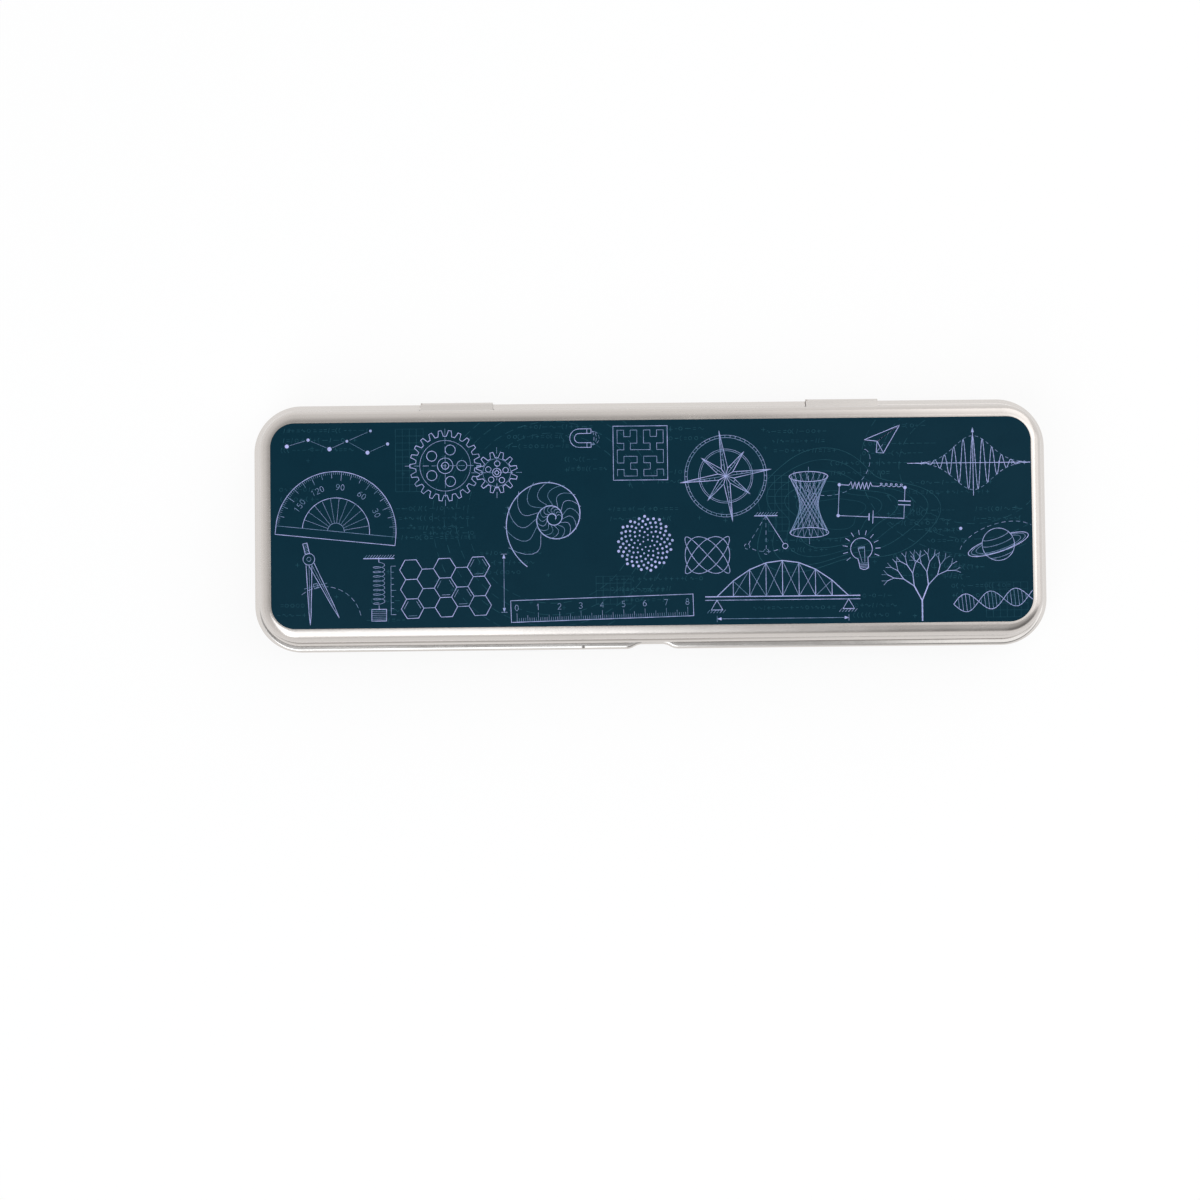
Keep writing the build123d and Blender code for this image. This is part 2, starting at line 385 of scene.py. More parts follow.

# %% The base's wear, grime and painted shade
# Wear is where hands and tables rub: the bead's outside and brow, the neck's curled edge and the foot.
base_wear = np.zeros(len(rows))
outside = slice(LOW_LEG, SHELF_END + 1)
base_wear[outside] = np.clip((plain_normals[outside, 0] - 0.2) * 3, 0, 1) * 1.2
base_wear[FACE_END : BROW_END + 3] = 2.4
base_wear[-CURL_ROWS:] = 0.5
base_wear[RING_START : RING_END + 4] = 0.8

# Grime and painted shade darken the crevice between the bead and the lid's hem, most in front, and the
# bead's top is a little darker towards the front left.
shelf = (rows >= FACE_END) & (rows <= SHELF_END)
across = base_points[..., 0]
crevice = np.clip((-1.4 - across) / 0.1, 0, 1) * np.clip((across + 2.6) / 0.5, 0, 1)
darker_front_left = 0.3 * np.clip(0.3 - x_place / 40, 0, 1) * np.clip((-0.8 - across) / 0.4, 0, 1)
base_grime = np.maximum(crevice * (0.2 + 0.9 * frontness), darker_front_left * frontness) * shelf[:, None]
base = stamping(
    "tin_base", base_face(SHEET / 2), base_face(-SHEET / 2), base_cells, FLOOR_Z,
    wear=(base_wear[:, None], 0, 0, 0), inside=(0, 1, 0, 1), grime=(base_grime, 0, 0, 0),
)

# %% [markdown]
# ## The lid
# The lid is a shallow drawn cap: flat top, rounded shoulder, short skirt, and an edge rolled outwards into a
# hem. At each hinge the hem is left out, and the same sheet carries on as a strap, out over the bead, down
# its back and under it. Hem and strap therefore use the same rows of the grid, and only their coordinates
# differ from station to station, so that the strap is one sheet with the skirt.

# %% The lid's section
TOP_Z, SHOULDER_BEND, SKIRT_INSET, SKIRT_LOW = 19.85, 2.85, 2.6, 10.62
HEM_Z, HEM_BEND, LIP_INSET, LIP_BEND = 10.05, 0.45, 1.83, 0.28
HEM_LEAN, HEM_LENGTH, FRONT_SQUEEZE = 130, 1.48, 0.27
STRAP_Z, STRAP_LEAN, STRAP_ROLL, STRAP_SWEEP = 11.87, 52, 1.4, -152

shoulder = np.array([-SKIRT_INSET - SHOULDER_BEND, TOP_Z - SHOULDER_BEND])
cap = [
    run((-CORNER, TOP_Z), (shoulder[0], TOP_Z), 3),
    turn(shoulder, SHOULDER_BEND, 90, -90, 18),
    run((-SKIRT_INSET, shoulder[1]), (-SKIRT_INSET, SKIRT_LOW), 3),
]
fold_x = HEM_BEND - SKIRT_INSET
lip = np.array([-LIP_INSET, HEM_Z + LIP_BEND])
hem_corner = lip + LIP_BEND * ray(HEM_LEAN - 90)
hem = [
    turn((fold_x, HEM_Z + HEM_BEND), HEM_BEND, 180, 90, 8),
    run((fold_x, HEM_Z), (-LIP_INSET, HEM_Z)),
    turn(lip, LIP_BEND, 270, HEM_LEAN, 14),
    run(hem_corner, hem_corner + ray(HEM_LEAN) * HEM_LENGTH, 8),
]
lid_points, lid_normals, lid_ends = chain(*cap, *hem)
SHOULDER_START, SHOULDER_END, SKIRT_END, FOLD_END, _, LIP_END, _ = lid_ends

strap_fold = np.array([fold_x, STRAP_Z])
bead_middle = np.array([-BEAD_INSET, BEAD_Z])
strap_top = (-SKIRT_INSET, STRAP_Z + 0.08)
fold_end = (strap_fold + HEM_BEND * ray(180 + STRAP_LEAN)).round(3)
roll_start = (bead_middle + STRAP_ROLL * ray(STRAP_LEAN)).round(3)
strap = [
    run((-SKIRT_INSET, shoulder[1]), strap_top, 3),
    run(strap_top, (-SKIRT_INSET, STRAP_Z)),
    turn(strap_fold, HEM_BEND, 180, STRAP_LEAN, 8),
    run(fold_end, roll_start),
    turn(bead_middle, STRAP_ROLL, STRAP_LEAN, STRAP_SWEEP, 22),
]
strap_points, strap_normals, _ = chain(*cap[:2], *strap)
assert len(strap_points) == len(lid_points), (len(strap_points), len(lid_points))
print(len(lid_points), "rows in the lid's section")

# %% The lid's faces
lid_rows = np.arange(len(lid_points))
below_skirt = lid_rows > SKIRT_END
at_strap = (side == 2) & (abs(abs(x_place) - HINGE_X) <= STRAP_HALF + 1e-4)
section = np.where(at_strap[None, :, None], strap_points[:, None], lid_points[:, None])
section_normals = np.where(at_strap[None, :, None], strap_normals[:, None], lid_normals[:, None])

# In front the hem is pressed a little narrower.
hem_reach = section[below_skirt, :, 0] + SKIRT_INSET
section[below_skirt, :, 0] = hem_reach * (1 - FRONT_SQUEEZE * frontness) - SKIRT_INSET
lid_cells = np.ones((len(lid_rows) - 1, len(centre)), bool)
gap_columns = within_hinge(RELIEF_HALF) & ~within_hinge(STRAP_HALF)
lid_cells[np.ix_(lid_rows[:-1] >= SKIRT_END, gap_columns)] = False

# %% The lid's wear and painted shade
# The shoulder, the hem's and the straps' outside are rubbed bright, the straps most.
top_wear = np.zeros(len(lid_rows))
top_wear[SHOULDER_START:SHOULDER_END] = np.sin(np.linspace(0, np.pi, SHOULDER_END - SHOULDER_START)) * 0.3
top_wear[SKIRT_END:] = 0.4
top_wear = np.maximum(top_wear[:, None], np.where(at_strap & below_skirt[:, None], 1.1, 0))
under_wear = np.where(lid_rows >= SKIRT_END, np.clip(lid_normals[:, 0], 0, 1), 0)

# Painted shade darkens the front hem's groove, mostly on the left, and the underside of its fold.
groove = np.where(lid_rows > LIP_END, np.clip((-2.05 - lid_points[:, 0]) / 0.2, 0, 1), 0)
groove = (0.75 * groove)[:, None] * (frontness * np.clip(1.1 - x_place / 50, 0.1, 1))
in_fold = (lid_rows > FOLD_END) & (lid_rows <= LIP_END)
fold = np.where(in_fold, np.clip(-lid_normals[:, 1] * 2, 0, 1), 0)
lid_grime = np.where(at_strap, 0, groove + 0.8 * fold[:, None])
lid_under, lid_top = [hang(section, section_normals, offset) for offset in (SHEET / 2, -SHEET / 2)]
lid = stamping(
    "tin_lid", lid_under, lid_top, lid_cells, TOP_Z,
    wear=(under_wear[:, None], top_wear, 0, 0),
    inside=((lid_rows < SKIRT_END)[:, None], 0, 1, 0),
    grime=(lid_grime, 0, 0, 0),
)

# %% [markdown]
# ## The printed panel
# On the real lid the flat top is printed and varnished, right up to where the shoulder begins to bend. It is
# a thin plate with rounded corners. Its edge is rounded over a few hundredths of a millimetre, so it catches
# a hair of light as real print and varnish do.

# %% The panel's mesh
PANEL_X, PANEL_Y, PANEL_R, PANEL_Z = 98.3, 26.6, 6.3, 20.075
# The section of its rim: how far in, and how high.
PANEL_RIM = [(0.0, 20.001), (0.0, PANEL_Z - 0.03), (0.012, PANEL_Z - 0.009), (0.04, PANEL_Z)]


def rounded_rectangle(half_x, half_y, radius, height, steps=20):
    """The outline as corner centre + radius * (cos a, sin a), anticlockwise, at one height."""
    middle = (half_x - radius, half_y - radius)
    flat = []
    for signs, start in (((1, 1), 0), ((-1, 1), 90), ((-1, -1), 180), ((1, -1), 270)):
        flat.append(np.multiply(signs, middle) + radius * ray(np.linspace(start, start + 90, steps + 1)))
    flat = np.concatenate(flat)
    return np.column_stack([flat, np.full(len(flat), height)])


rings = [rounded_rectangle(PANEL_X - inset, PANEL_Y - inset, PANEL_R - inset, z) for inset, z in PANEL_RIM]
ring = np.arange(len(rings) * len(rings[0])).reshape(len(rings), -1)
ahead = np.roll(ring, -1, 1)
panel_faces = [ring[0][::-1].tolist(), ring[-1].tolist()]
panel_faces += np.stack([ring[:-1], ahead[:-1], ahead[1:], ring[1:]], -1).reshape(-1, 4).tolist()
panel = piece("lid_panel", np.concatenate(rings), panel_faces, merge=False)

# %% [markdown]
# ## The drawing on the lid
# The real lid has a dense page of fine line drawings, lilac on dark petrol blue, over a layer so faint that
# it nearly sinks into the ground. This lid gets a page of its own: gears, a shell, a bridge, waves and the
# like, every one drawn from a formula. An image texture would be the usual way, but lines made as thin ink
# ribbons stay sharp however near the camera comes. Each drawing is a list of strokes, a stroke being a line
# of points in millimetres and a width.

# %% Basic strokes
THICK, PLAIN, FINE, HAIR = 0.215, 0.14, 0.095, 0.07
chance = np.random.default_rng(7)


def turning(degrees):
    """The matrix that turns a row of points: (x, y) becomes (x cos a - y sin a, x sin a + y cos a)."""
    c, s = ray(degrees)
    return np.array([[c, s], [-s, c]])


def arc(x, y, radius, start=0, sweep=360, flat=1.0, tilt=0):
    """Part of an ellipse: centre + radius * (cos a, flat * sin a), the whole turned by tilt degrees."""
    steps = max(4, int(abs(sweep) / 360 * (14 + 5 * radius)))
    spoke = radius * ray(start + sweep * np.linspace(0, 1, steps + 1)) * (1, flat)
    return spoke @ turning(tilt) + (x, y)


def line(*points):
    """A line through the given points."""
    return np.array(points, float)


def box(x0, y0, x1, y1):
    """A closed rectangle between two opposite corners."""
    return line((x0, y0), (x1, y0), (x1, y1), (x0, y1), (x0, y0))


def spokes(x, y, near, far, angles):
    """Short radial lines from the near radius to the far one, one at each angle."""
    return [np.array([(x, y) + near * d, (x, y) + far * d]) for d in ray(angles)]


def with_width(shapes, width):
    """Shapes made into strokes of one width."""
    return [(shape, width) for shape in shapes]


def travelled(points):
    """The length of the line up to each of its points."""
    return np.concatenate([[0], np.cumsum(np.hypot(*np.diff(points, axis=0).T))])


def points_at(at, gone, points):
    """Points of a line at the given lengths along it."""
    return np.stack([np.interp(at, gone, points[:, 0]), np.interp(at, gone, points[:, 1])], 1)


def dashes(points, on=1.1, off=0.8):
    """The stretches of a line that lie within every 'on' length, with 'off' lengths left out between."""
    gone = travelled(points)
    pieces = []
    for start in np.arange(0, gone[-1] - 0.1, on + off):
        stop = min(start + on, gone[-1])
        at = np.concatenate([[start], gone[(gone > start + 1e-3) & (gone < stop - 1e-3)], [stop]])
        pieces.append(points_at(at, gone, points))
    return pieces


def axis_line(x, y):
    """A line of long dashes through the middle, from (-x, -y) to (x, y)."""
    return with_width(dashes(line((-x, -y), (x, y)), 1.6, 0.7), FINE)


def arrowhead(tip, degrees, size=1.1):
    """A filled head: a stroke whose width falls from 0.62 of its length to nearly nothing at the tip."""
    back = np.array(tip, float) - size * ray(degrees)
    return (np.array([back, tip]), np.array([size * 0.62, 0.03]))


def measure(start, end, width=FINE):
    """A dimension line with a head at both ends and a bar across each."""
    start, end = np.array(start, float), np.array(end, float)
    degrees = math.degrees(math.atan2(*(end - start)[::-1]))
    across = 0.8 * ray(degrees + 90)
    bars = [(np.array([p - across, p + across]), width) for p in (start, end)]
    return [(np.array([start, end]), width), arrowhead(end, degrees), arrowhead(start, degrees + 180)] + bars


def dot(x, y, radius=0.45):
    """A round dot: a stroke of no length, which the ribbon maker turns into a disc."""
    return (np.array([[x, y]], float), 2 * radius)


def moved(strokes, x=0.0, y=0.0, size=1.0, tilt=0.0):
    """Strokes scaled, turned and moved. Widths stay as drawn, as they do with one pen."""
    matrix = size * turning(tilt)
    return [(points @ matrix + (x, y), width) for points, width in strokes]


# %% Plain figures for scales
def bend(x, y, wide, high, start, sweep):
    """Part of an ellipse of this half width and half height."""
    return arc(x, y, wide, start, sweep, flat=high / wide)


FIGURES = {
    "0": [bend(0.3, 0.5, 0.28, 0.5, 90, 360)],
    "1": [line((0.1, 0.76), (0.32, 1), (0.32, 0))],
    "2": [np.vstack([bend(0.3, 0.71, 0.27, 0.29, 165, -200), line((0.03, 0), (0.6, 0))])],
    "3": [np.vstack([bend(0.27, 0.75, 0.27, 0.25, 150, -240), bend(0.27, 0.26, 0.3, 0.26, 90, -250)])],
    "4": [line((0.44, 0), (0.44, 1), (0, 0.3), (0.6, 0.3))],
    "5": [np.vstack([line((0.54, 1), (0.12, 1), (0.08, 0.56)), bend(0.27, 0.31, 0.3, 0.31, 120, -260)])],
    "6": [bend(0.3, 0.3, 0.27, 0.3, 90, 360), bend(0.62, 0.3, 0.6, 0.7, 100, 80)],
    "7": [line((0, 1), (0.56, 1), (0.2, 0))],
    "8": [bend(0.3, 0.75, 0.23, 0.25, 90, 360), bend(0.3, 0.26, 0.28, 0.26, 90, 360)],
    "9": [bend(0.3, 0.7, 0.27, 0.3, 90, 360), bend(-0.02, 0.7, 0.6, 0.7, 280, 80)],
}


def number(value, x, y, height=1.5, tilt=0.0):
    """Plain figures, centred on the point."""
    text = str(value)
    strokes = []
    for place, figure in enumerate(text):
        shift = (place * 0.85 - len(text) * 0.425 + 0.12, -0.5)
        strokes += [(shape + shift, FINE) for shape in FIGURES[figure]]
    return moved(strokes, x, y, height, tilt)


# %% [markdown]
# ## Single drawings
# Each function gives one drawing about its own middle. They are the kind of figures that fill a technical
# sketchbook. None of them is a picture from anywhere else: a gear is a wave of two radii, a shell is a
# spiral whose radius grows by the same share every turn, and a tree is a branch that splits in two again
# and again.


# %% Wheels, shells and stars
def gear(radius, teeth, turned=0.0):
    """The radius steps between root and tip, with sloping flanks, four points to a tooth. Inside are a rim, a
    hub, a shaft and five round holes."""
    step = 2 * np.pi / teeth
    flanks = np.tile([-0.30, -0.16, 0.16, 0.30], teeth) * step
    a = np.repeat(np.arange(teeth) * step, 4) + flanks + math.radians(turned)
    r = radius + np.tile([-0.75, 0.75, 0.75, -0.75], teeth)
    outline = np.stack([r * np.cos(a), r * np.sin(a)], 1)
    strokes = [(np.vstack([outline, outline[:1]]), PLAIN)]
    for share, width in ((0.78, FINE), (0.24, PLAIN), (0.11, PLAIN)):
        strokes.append((arc(0, 0, radius * share), width))
    holes = radius * 0.51 * ray(72 * np.arange(5) + turned)
    strokes += [(arc(x, y, radius * 0.155), PLAIN) for x, y in holes]
    return strokes + axis_line(radius + 2, 0) + axis_line(0, radius + 2)


def shell(radius, turns=2.75, swell=2.9):
    """A spiral whose radius is multiplied by the swell each turn, with a bowed wall every 1/15 of a turn."""
    growth = math.log(swell) / (2 * np.pi)
    a = np.linspace(0, turns * 2 * np.pi, 190)
    full = radius * np.exp(growth * (a - a[-1]))
    strokes = [(np.stack([full * np.cos(a), full * np.sin(a)], 1), THICK)]
    for k in range(30):
        b = a[-1] - 0.2 - k * 2 * np.pi / 15
        if b < 2.2 * np.pi:
            break
        far = radius * np.exp(growth * (b - a[-1]))
        near = far / swell
        share = np.linspace(0, 1, 10)
        r, c = near + (far - near) * share, b + 0.42 * np.sin(np.pi * share) - 0.30 * share
        strokes.append((np.stack([r * np.cos(c), r * np.sin(c)], 1), FINE))
    return strokes


def wind_star(radius):
    """Eight points, long and short in turn, each a kite with one half hatched, over a ring of marks."""
    strokes = [(arc(0, 0, radius * s), FINE) for s in (0.62, 0.66, 0.94, 1.0)]
    strokes += with_width(spokes(0, 0, radius * 0.94, radius, np.arange(0, 360, 7.5)), FINE)
    waist = radius * 0.2
    for k in range(8):
        reach, hatches = (1.12, 7) if k % 2 == 0 else (0.74, 4)
        forward, across = ray([45 * k, 45 * k + 90])
        point, middle = forward * radius * reach, forward * waist * 0.9
        hip, other = [forward * waist * 0.92 + across * waist * s * 0.38 for s in (1, -1)]
        strokes += [(line((0, 0), hip, point, other, (0, 0)), PLAIN), (line((0, 0), point), FINE)]
        for share in np.linspace(0.1, 0.9, hatches):
            strokes.append((line(hip + (point - hip) * share, middle + (point - middle) * share), FINE))
    return strokes


def ringed_planet(radius):
    """A globe with curved bands, in front of and behind a flat ring of three ellipses."""
    tilt = 18
    strokes = [(arc(0, 0, radius), PLAIN)]
    for level in (-0.6, -0.25, 0.2, 0.55):
        x, y = level * radius * ray(tilt + 90)
        strokes.append((arc(x, y, radius * math.sqrt(1 - level**2), 180, 180, 0.22, tilt), FINE))
    for size in (1.45, 1.75, 1.95):
        edge = math.degrees(math.acos(min(1, 0.93 / size)))
        width = PLAIN if size > 1.9 else FINE
        strokes += [(arc(0, 0, radius * size, 180 - edge, 180 + 2 * edge, 0.24, tilt), width)]
    strokes += [dot(-radius * 2.3, radius * 1.0, 0.4), dot(radius * 2.2, -radius * 0.9, 0.5)]
    return strokes + with_width(dashes(arc(0, 0, radius * 2.5, 15, 150, 0.5, tilt)), FINE)


def seed_head(radius, count=115):
    """Dot k sits at radius * sqrt(k / count), turned on by the golden angle, as seeds do in a sunflower."""
    k = np.arange(1, count)
    a, r = k * np.pi * (3 - math.sqrt(5)), radius * np.sqrt(k / count)
    return [dot(x, y, 0.16 + 0.2 * q / radius) for x, y, q in zip(r * np.cos(a), r * np.sin(a), r)]


# %% Lines, waves and lattices
def wave_packet(length, height):
    """A wave under a bell-shaped envelope on a pair of axes: exp(-x * x) * cos(k * x)."""
    x = np.linspace(-1, 1, 230)
    far, high = length / 2, height / 2
    bell = high * np.exp(-5.0 * x**2)
    strokes = [(np.stack([x * far, bell * np.cos(38 * x)], 1), PLAIN)]
    for sign in (-1, 1):
        strokes += with_width(dashes(np.stack([x * far, sign * bell], 1)[::4], 0.9, 0.7), FINE)
    strokes += [(line((-far - 2, 0), (far + 2.5, 0)), PLAIN), arrowhead((far + 3, 0), 0, 1.3)]
    strokes += [(line((0, -high - 1.5), (0, high + 1.6)), PLAIN), arrowhead((0, high + 2.2), 90, 1.3)]
    return strokes + [(line((t, -0.45), (t, 0.45)), FINE) for t in np.arange(-4, 5) * length / 9]


def bridge(length, height, bays=8):
    """A bow of upright and crossed bars on hatched feet: the top chord is a parabola over a level deck."""
    far, half = length / 2, bays // 2
    x = np.linspace(-far, far, bays + 1)
    top = height * (1 - (2 * x / length) ** 2)
    strokes = [(np.stack([x, top], 1), THICK), (line((-far - 3, 0), (far + 3, 0)), THICK)]
    strokes += [(line((-far - 3, -0.9), (far + 3, -0.9)), PLAIN)]
    strokes += [(line((a, 0), (a, t)), PLAIN) for a, t in zip(x[1:-1], top[1:-1])]
    for low, high in ((1, 0), (0, 1)):
        for places, inward in ((range(1, half), 1), (range(half + 1, bays), -1)):
            ends = [(i + low * inward, i + high * inward) for i in places]
            strokes += [(line((x[a], 0), (x[b], top[b])), FINE) for a, b in ends]
    for end in (-far, far):
        strokes.append((line((end, -0.9), (end - 1.5, -3.4), (end + 1.5, -3.4), (end, -0.9)), PLAIN))
        strokes += [(line((end + d, -3.4), (end + d - 0.7, -4.2)), FINE) for d in np.linspace(-1.8, 2.2, 6)]
    return strokes


def honeycomb(side, columns, rows_up):
    """Hexagons at the points of a skewed grid. Every third one has three short second lines inside it."""
    strokes = []
    corners = side * ray(np.arange(0, 420, 60))
    for i in range(columns):
        for j in range(rows_up - (i % 2)):
            middle = np.array([1.5 * side * i, math.sqrt(3) * side * (j + (i % 2) / 2)])
            strokes.append((middle + corners, PLAIN))
            if (i + j) % 3 == 0:
                inner = middle + corners * 0.74
                strokes += [(inner[k : k + 2], FINE) for k in (0, 2, 4)]
    return strokes


def string_tower(width, height, count=17):
    """Straight strings between two hoops, turned against each other, which outline a waisted surface."""
    strokes = [(arc(0, s * height / 2, width / 2, 0, 360, 0.26), PLAIN) for s in (-1, 1)]
    a = np.degrees(np.linspace(0, 2 * np.pi, count, endpoint=False))
    hoop = (width / 2, 0.13 * width)
    for turned in (-2.1, 2.1):
        low = hoop * ray(a) - (0, height / 2)
        high = hoop * ray(a + math.degrees(turned)) + (0, height / 2)
        strokes += [(line(p, q), HAIR) for p, q in zip(low, high)]
    return strokes + axis_line(0, height / 2 + 3)


def looped_wave(width, height, p=3, q=4):
    """x = sin(p * t + a quarter), y = sin(q * t): two swings at right angles."""
    t = np.linspace(0, 2 * np.pi, 220)
    return [(np.stack([width / 2 * np.sin(p * t + np.pi / 4), height / 2 * np.sin(q * t)], 1), PLAIN)]


def folded_line(size, order=3):
    """A line that visits every cell of a square grid. Each order places four smaller copies."""
    path_xy = np.array([[0.5, 0.5]])
    for _ in range(order):
        x, y = path_xy.T / 2
        quarters = [(y, x), (x, y + 0.5), (x + 0.5, y + 0.5), (1 - y, 0.5 - x)]
        path_xy = np.concatenate([np.stack(q, 1) for q in quarters])
    return [(path_xy * size, FINE), (box(-0.2, -0.2, size + 0.2, size + 0.2), PLAIN)]


def tree(height, levels=6):
    """Each branch ends in two more: one turned left by 28 degrees and 0.76 as long, and one turned right by
    22 degrees and 0.78 as long."""
    root = np.array([[0.0, 0.0, math.pi / 2, height * 0.29]])
    strokes = []
    for level in range(levels):
        tips = root[:, :2] + root[:, 3:] * np.stack([np.cos(root[:, 2]), np.sin(root[:, 2])], 1)
        width = max(HAIR, THICK * 1.6 * 0.78**level)
        strokes += [(line(a, b), width) for a, b in zip(root[:, :2], tips)]
        splits = [
            np.column_stack([tips, root[:, 2] + math.radians(angle), root[:, 3] * share])
            for angle, share in ((28, 0.76), (-22, 0.78))
        ]
        root = np.concatenate(splits)
    return strokes


def double_helix(length, width, turns=2.5):
    """Two sine lines half a turn apart, with a rung between them at even steps."""
    x = np.linspace(0, 1, 120)
    wave = width / 2 * np.sin(2 * np.pi * turns * x)
    strokes = [(np.stack([x * length, s * wave], 1), PLAIN) for s in (-1, 1)]
    steps = np.linspace(0.015, 0.985, 27)
    high = width / 2 * np.sin(2 * np.pi * turns * steps)
    rungs = [(s * length, h) for s, h in zip(steps, high) if abs(h) > 0.5]
    return strokes + [(line((x, -h), (x, h)), FINE) for x, h in rungs]


# %% Instruments
def protractor(radius):
    """Half a ring of degree marks, long at tens, with plain numbers every 30 degrees."""
    strokes = [(arc(0, 0, radius, 0, 180), PLAIN), (arc(0, 0, radius * 0.56, 0, 180), PLAIN)]
    strokes += [(line((-radius, 0), (-radius, -2.2), (radius, -2.2), (radius, 0)), PLAIN)]
    strokes += [(line((-radius, 0), (radius, 0)), FINE)]
    for step, depth, width in ((2, 0.05, HAIR), (10, 0.11, FINE), (30, 0.15, FINE)):
        strokes += with_width(spokes(0, 0, radius * (1 - depth), radius, np.arange(step, 180, step)), width)
    strokes += with_width(spokes(0, 0, radius * 0.14, radius * 0.56, np.arange(15, 180, 15)), HAIR)
    for value in range(30, 180, 30):
        strokes += number(value, *(radius * 0.74 * ray(value)), 1.45, value - 90)
    return strokes + [(arc(0, 0, radius * 0.14, 0, 180), FINE)]


def beam(half, count):
    """A hatched beam to hang a thing from."""
    hatches = np.linspace(0.2 - half, half - 0.8, count)
    return [(line((-half, 0), (half, 0)), THICK)] + [(line((d, 0), (d + 0.8, 0.9)), FINE) for d in hatches]


def ruler(length, first=0, last=12):
    """A strip with tenths, halves and wholes marked, and a plain number over each whole."""
    strokes = [(box(-1.5, 0, length + 1.5, 5.6), PLAIN)]
    step = length / (last - first)
    for mark in range((last - first) * 10 + 1):
        high = 2.3 if mark % 10 == 0 else 1.7 if mark % 5 == 0 else 1.05
        strokes.append((line((mark * step / 10, 0), (mark * step / 10, high)), HAIR))
    for value in range(first, last + 1):
        strokes += number(value, (value - first) * step, 3.7, 1.5)
    return strokes


def spring_scale(height):
    """A hatched beam, a coiled spring and a hanging weight beside a small scale."""
    strokes = beam(4, 11)
    t = np.linspace(0, 1, 150)
    swing = 18 * np.pi * t
    coil = np.stack([1.5 * np.sin(swing), -1.4 - (height - 6) * t + 0.45 * np.cos(swing)], 1)
    strokes += [(line((0, 0), (0, -1.0)), PLAIN), (coil, FINE)]
    strokes += [(line((0, 4.4 - height), (0, 3.4 - height)), PLAIN)]
    strokes.append((box(-1.9, 0.4 - height, 1.9, 3.4 - height), PLAIN))
    strokes += [(line((-1.9, y - height), (1.9, y - height + 0.001)), HAIR) for y in np.arange(0.9, 3.2, 0.5)]
    for mark in range(9):
        y = -2.0 - mark * (height - 4) / 8
        strokes.append((line((3.1, y), (4.4 if mark % 4 == 0 else 3.8, y)), FINE))
    return strokes + [(line((3.1, -2.0), (3.1, 2.0 - height)), FINE)]


def pendulum(length, swing=32):
    """A bob on a string, with its dashed far positions and the arc between them."""
    strokes = beam(3, 8)
    for degrees, solid in ((-90 + swing, True), (-90, False), (-90 - swing, False)):
        string = line((0, 0), length * ray(degrees))
        ball = arc(*(length * 1.08 * ray(degrees)), length * 0.08)
        strokes += [(string, PLAIN)] if solid else with_width(dashes(string), FINE)
        strokes += [(ball, PLAIN)] if solid else with_width(dashes(ball, 0.8, 0.5), FINE)
    return strokes + with_width(dashes(arc(0, 0, length * 1.08, -90 - swing + 9, 2 * swing - 18)), FINE)


def dividers(height, spread=15):
    """Two legs from one hinge, with a knurled handle and a bow screw."""
    strokes = [(arc(0, 0, 1.5), PLAIN), (arc(0, 0, 0.55), FINE), (box(-0.55, 1.4, 0.55, 4.2), PLAIN)]
    strokes += [(line((-0.55, y), (0.55, y + 0.3)), HAIR) for y in np.arange(1.7, 4.0, 0.4)]
    for turned in (-spread, spread):
        along, across = ray([turned - 90, turned])
        start, knee, end = along * 1.5, along * height * 0.8, along * height
        wide, narrow = across * 0.75, across * 0.3
        strokes += [(line(start + wide, knee + narrow, end, knee - narrow, start - wide), PLAIN)]
        strokes += [(line(start, knee), HAIR)]
    bow = height * 0.42
    reach = bow * math.tan(math.radians(spread)) + 1.4
    strokes.append((line((-reach, -bow), (reach, -bow)), FINE))
    return strokes + [(box(-0.5, -bow - 0.6, 0.5, -bow + 0.6), FINE)]


def lamp_bulb(radius):
    """A round bulb narrowing to a ribbed cap, with a looped wire inside and rays outside."""
    left, right = (-0.42, -1.3), (0.42, -1.3)
    globe = arc(0, 0, radius, -62, 304) / radius
    strokes = [(np.vstack([[right], globe, [left]]) * radius, PLAIN)]
    strokes += [(line((-0.42, y), (0.42, y - 0.08)) * radius, FINE) for y in (-1.3, -1.44, -1.58, -1.72)]
    foot = line(left, (-0.4, -1.75), (-0.15, -1.92), (0.15, -1.92), (0.4, -1.8), right)
    strokes += [(foot * radius, PLAIN)]
    x = np.linspace(-0.3, 0.3, 40)
    strokes += [(np.stack([x, 0.1 + 0.1 * np.cos(x * 62)], 1) * radius, FINE)]
    strokes += [(line((s * 0.12, -1.3), (s * 0.3, 0.1)) * radius, FINE) for s in (-1, 1)]
    return strokes + with_width(spokes(0, 0, radius * 1.3, radius * 1.75, np.arange(-30, 211, 24)), PLAIN)


def paper_plane(size):
    """A folded dart seen from the side, at the end of a dashed loop."""
    nose, tail, keel, wing, crease = (1, 0.42), (-0.8, 0.1), (-0.38, -0.62), (-0.22, -0.1), (-0.05, -0.72)
    strokes = [(line(nose, tail, wing, nose, crease, wing, nose) * size, PLAIN)]
    strokes += [(line(wing, keel, crease) * size, PLAIN), (line(keel, (0.02, -0.3)) * size, FINE)]
    t = np.linspace(0, 1, 90)
    a = 2 * np.pi * t
    trail = np.stack([0.85 * np.sin(a) - 3.4 * t - 0.9, 0.85 * np.cos(a) - 0.25 * t - 1.2], 1)
    return strokes + with_width(dashes(trail * size, 1.2, 0.8), FINE)


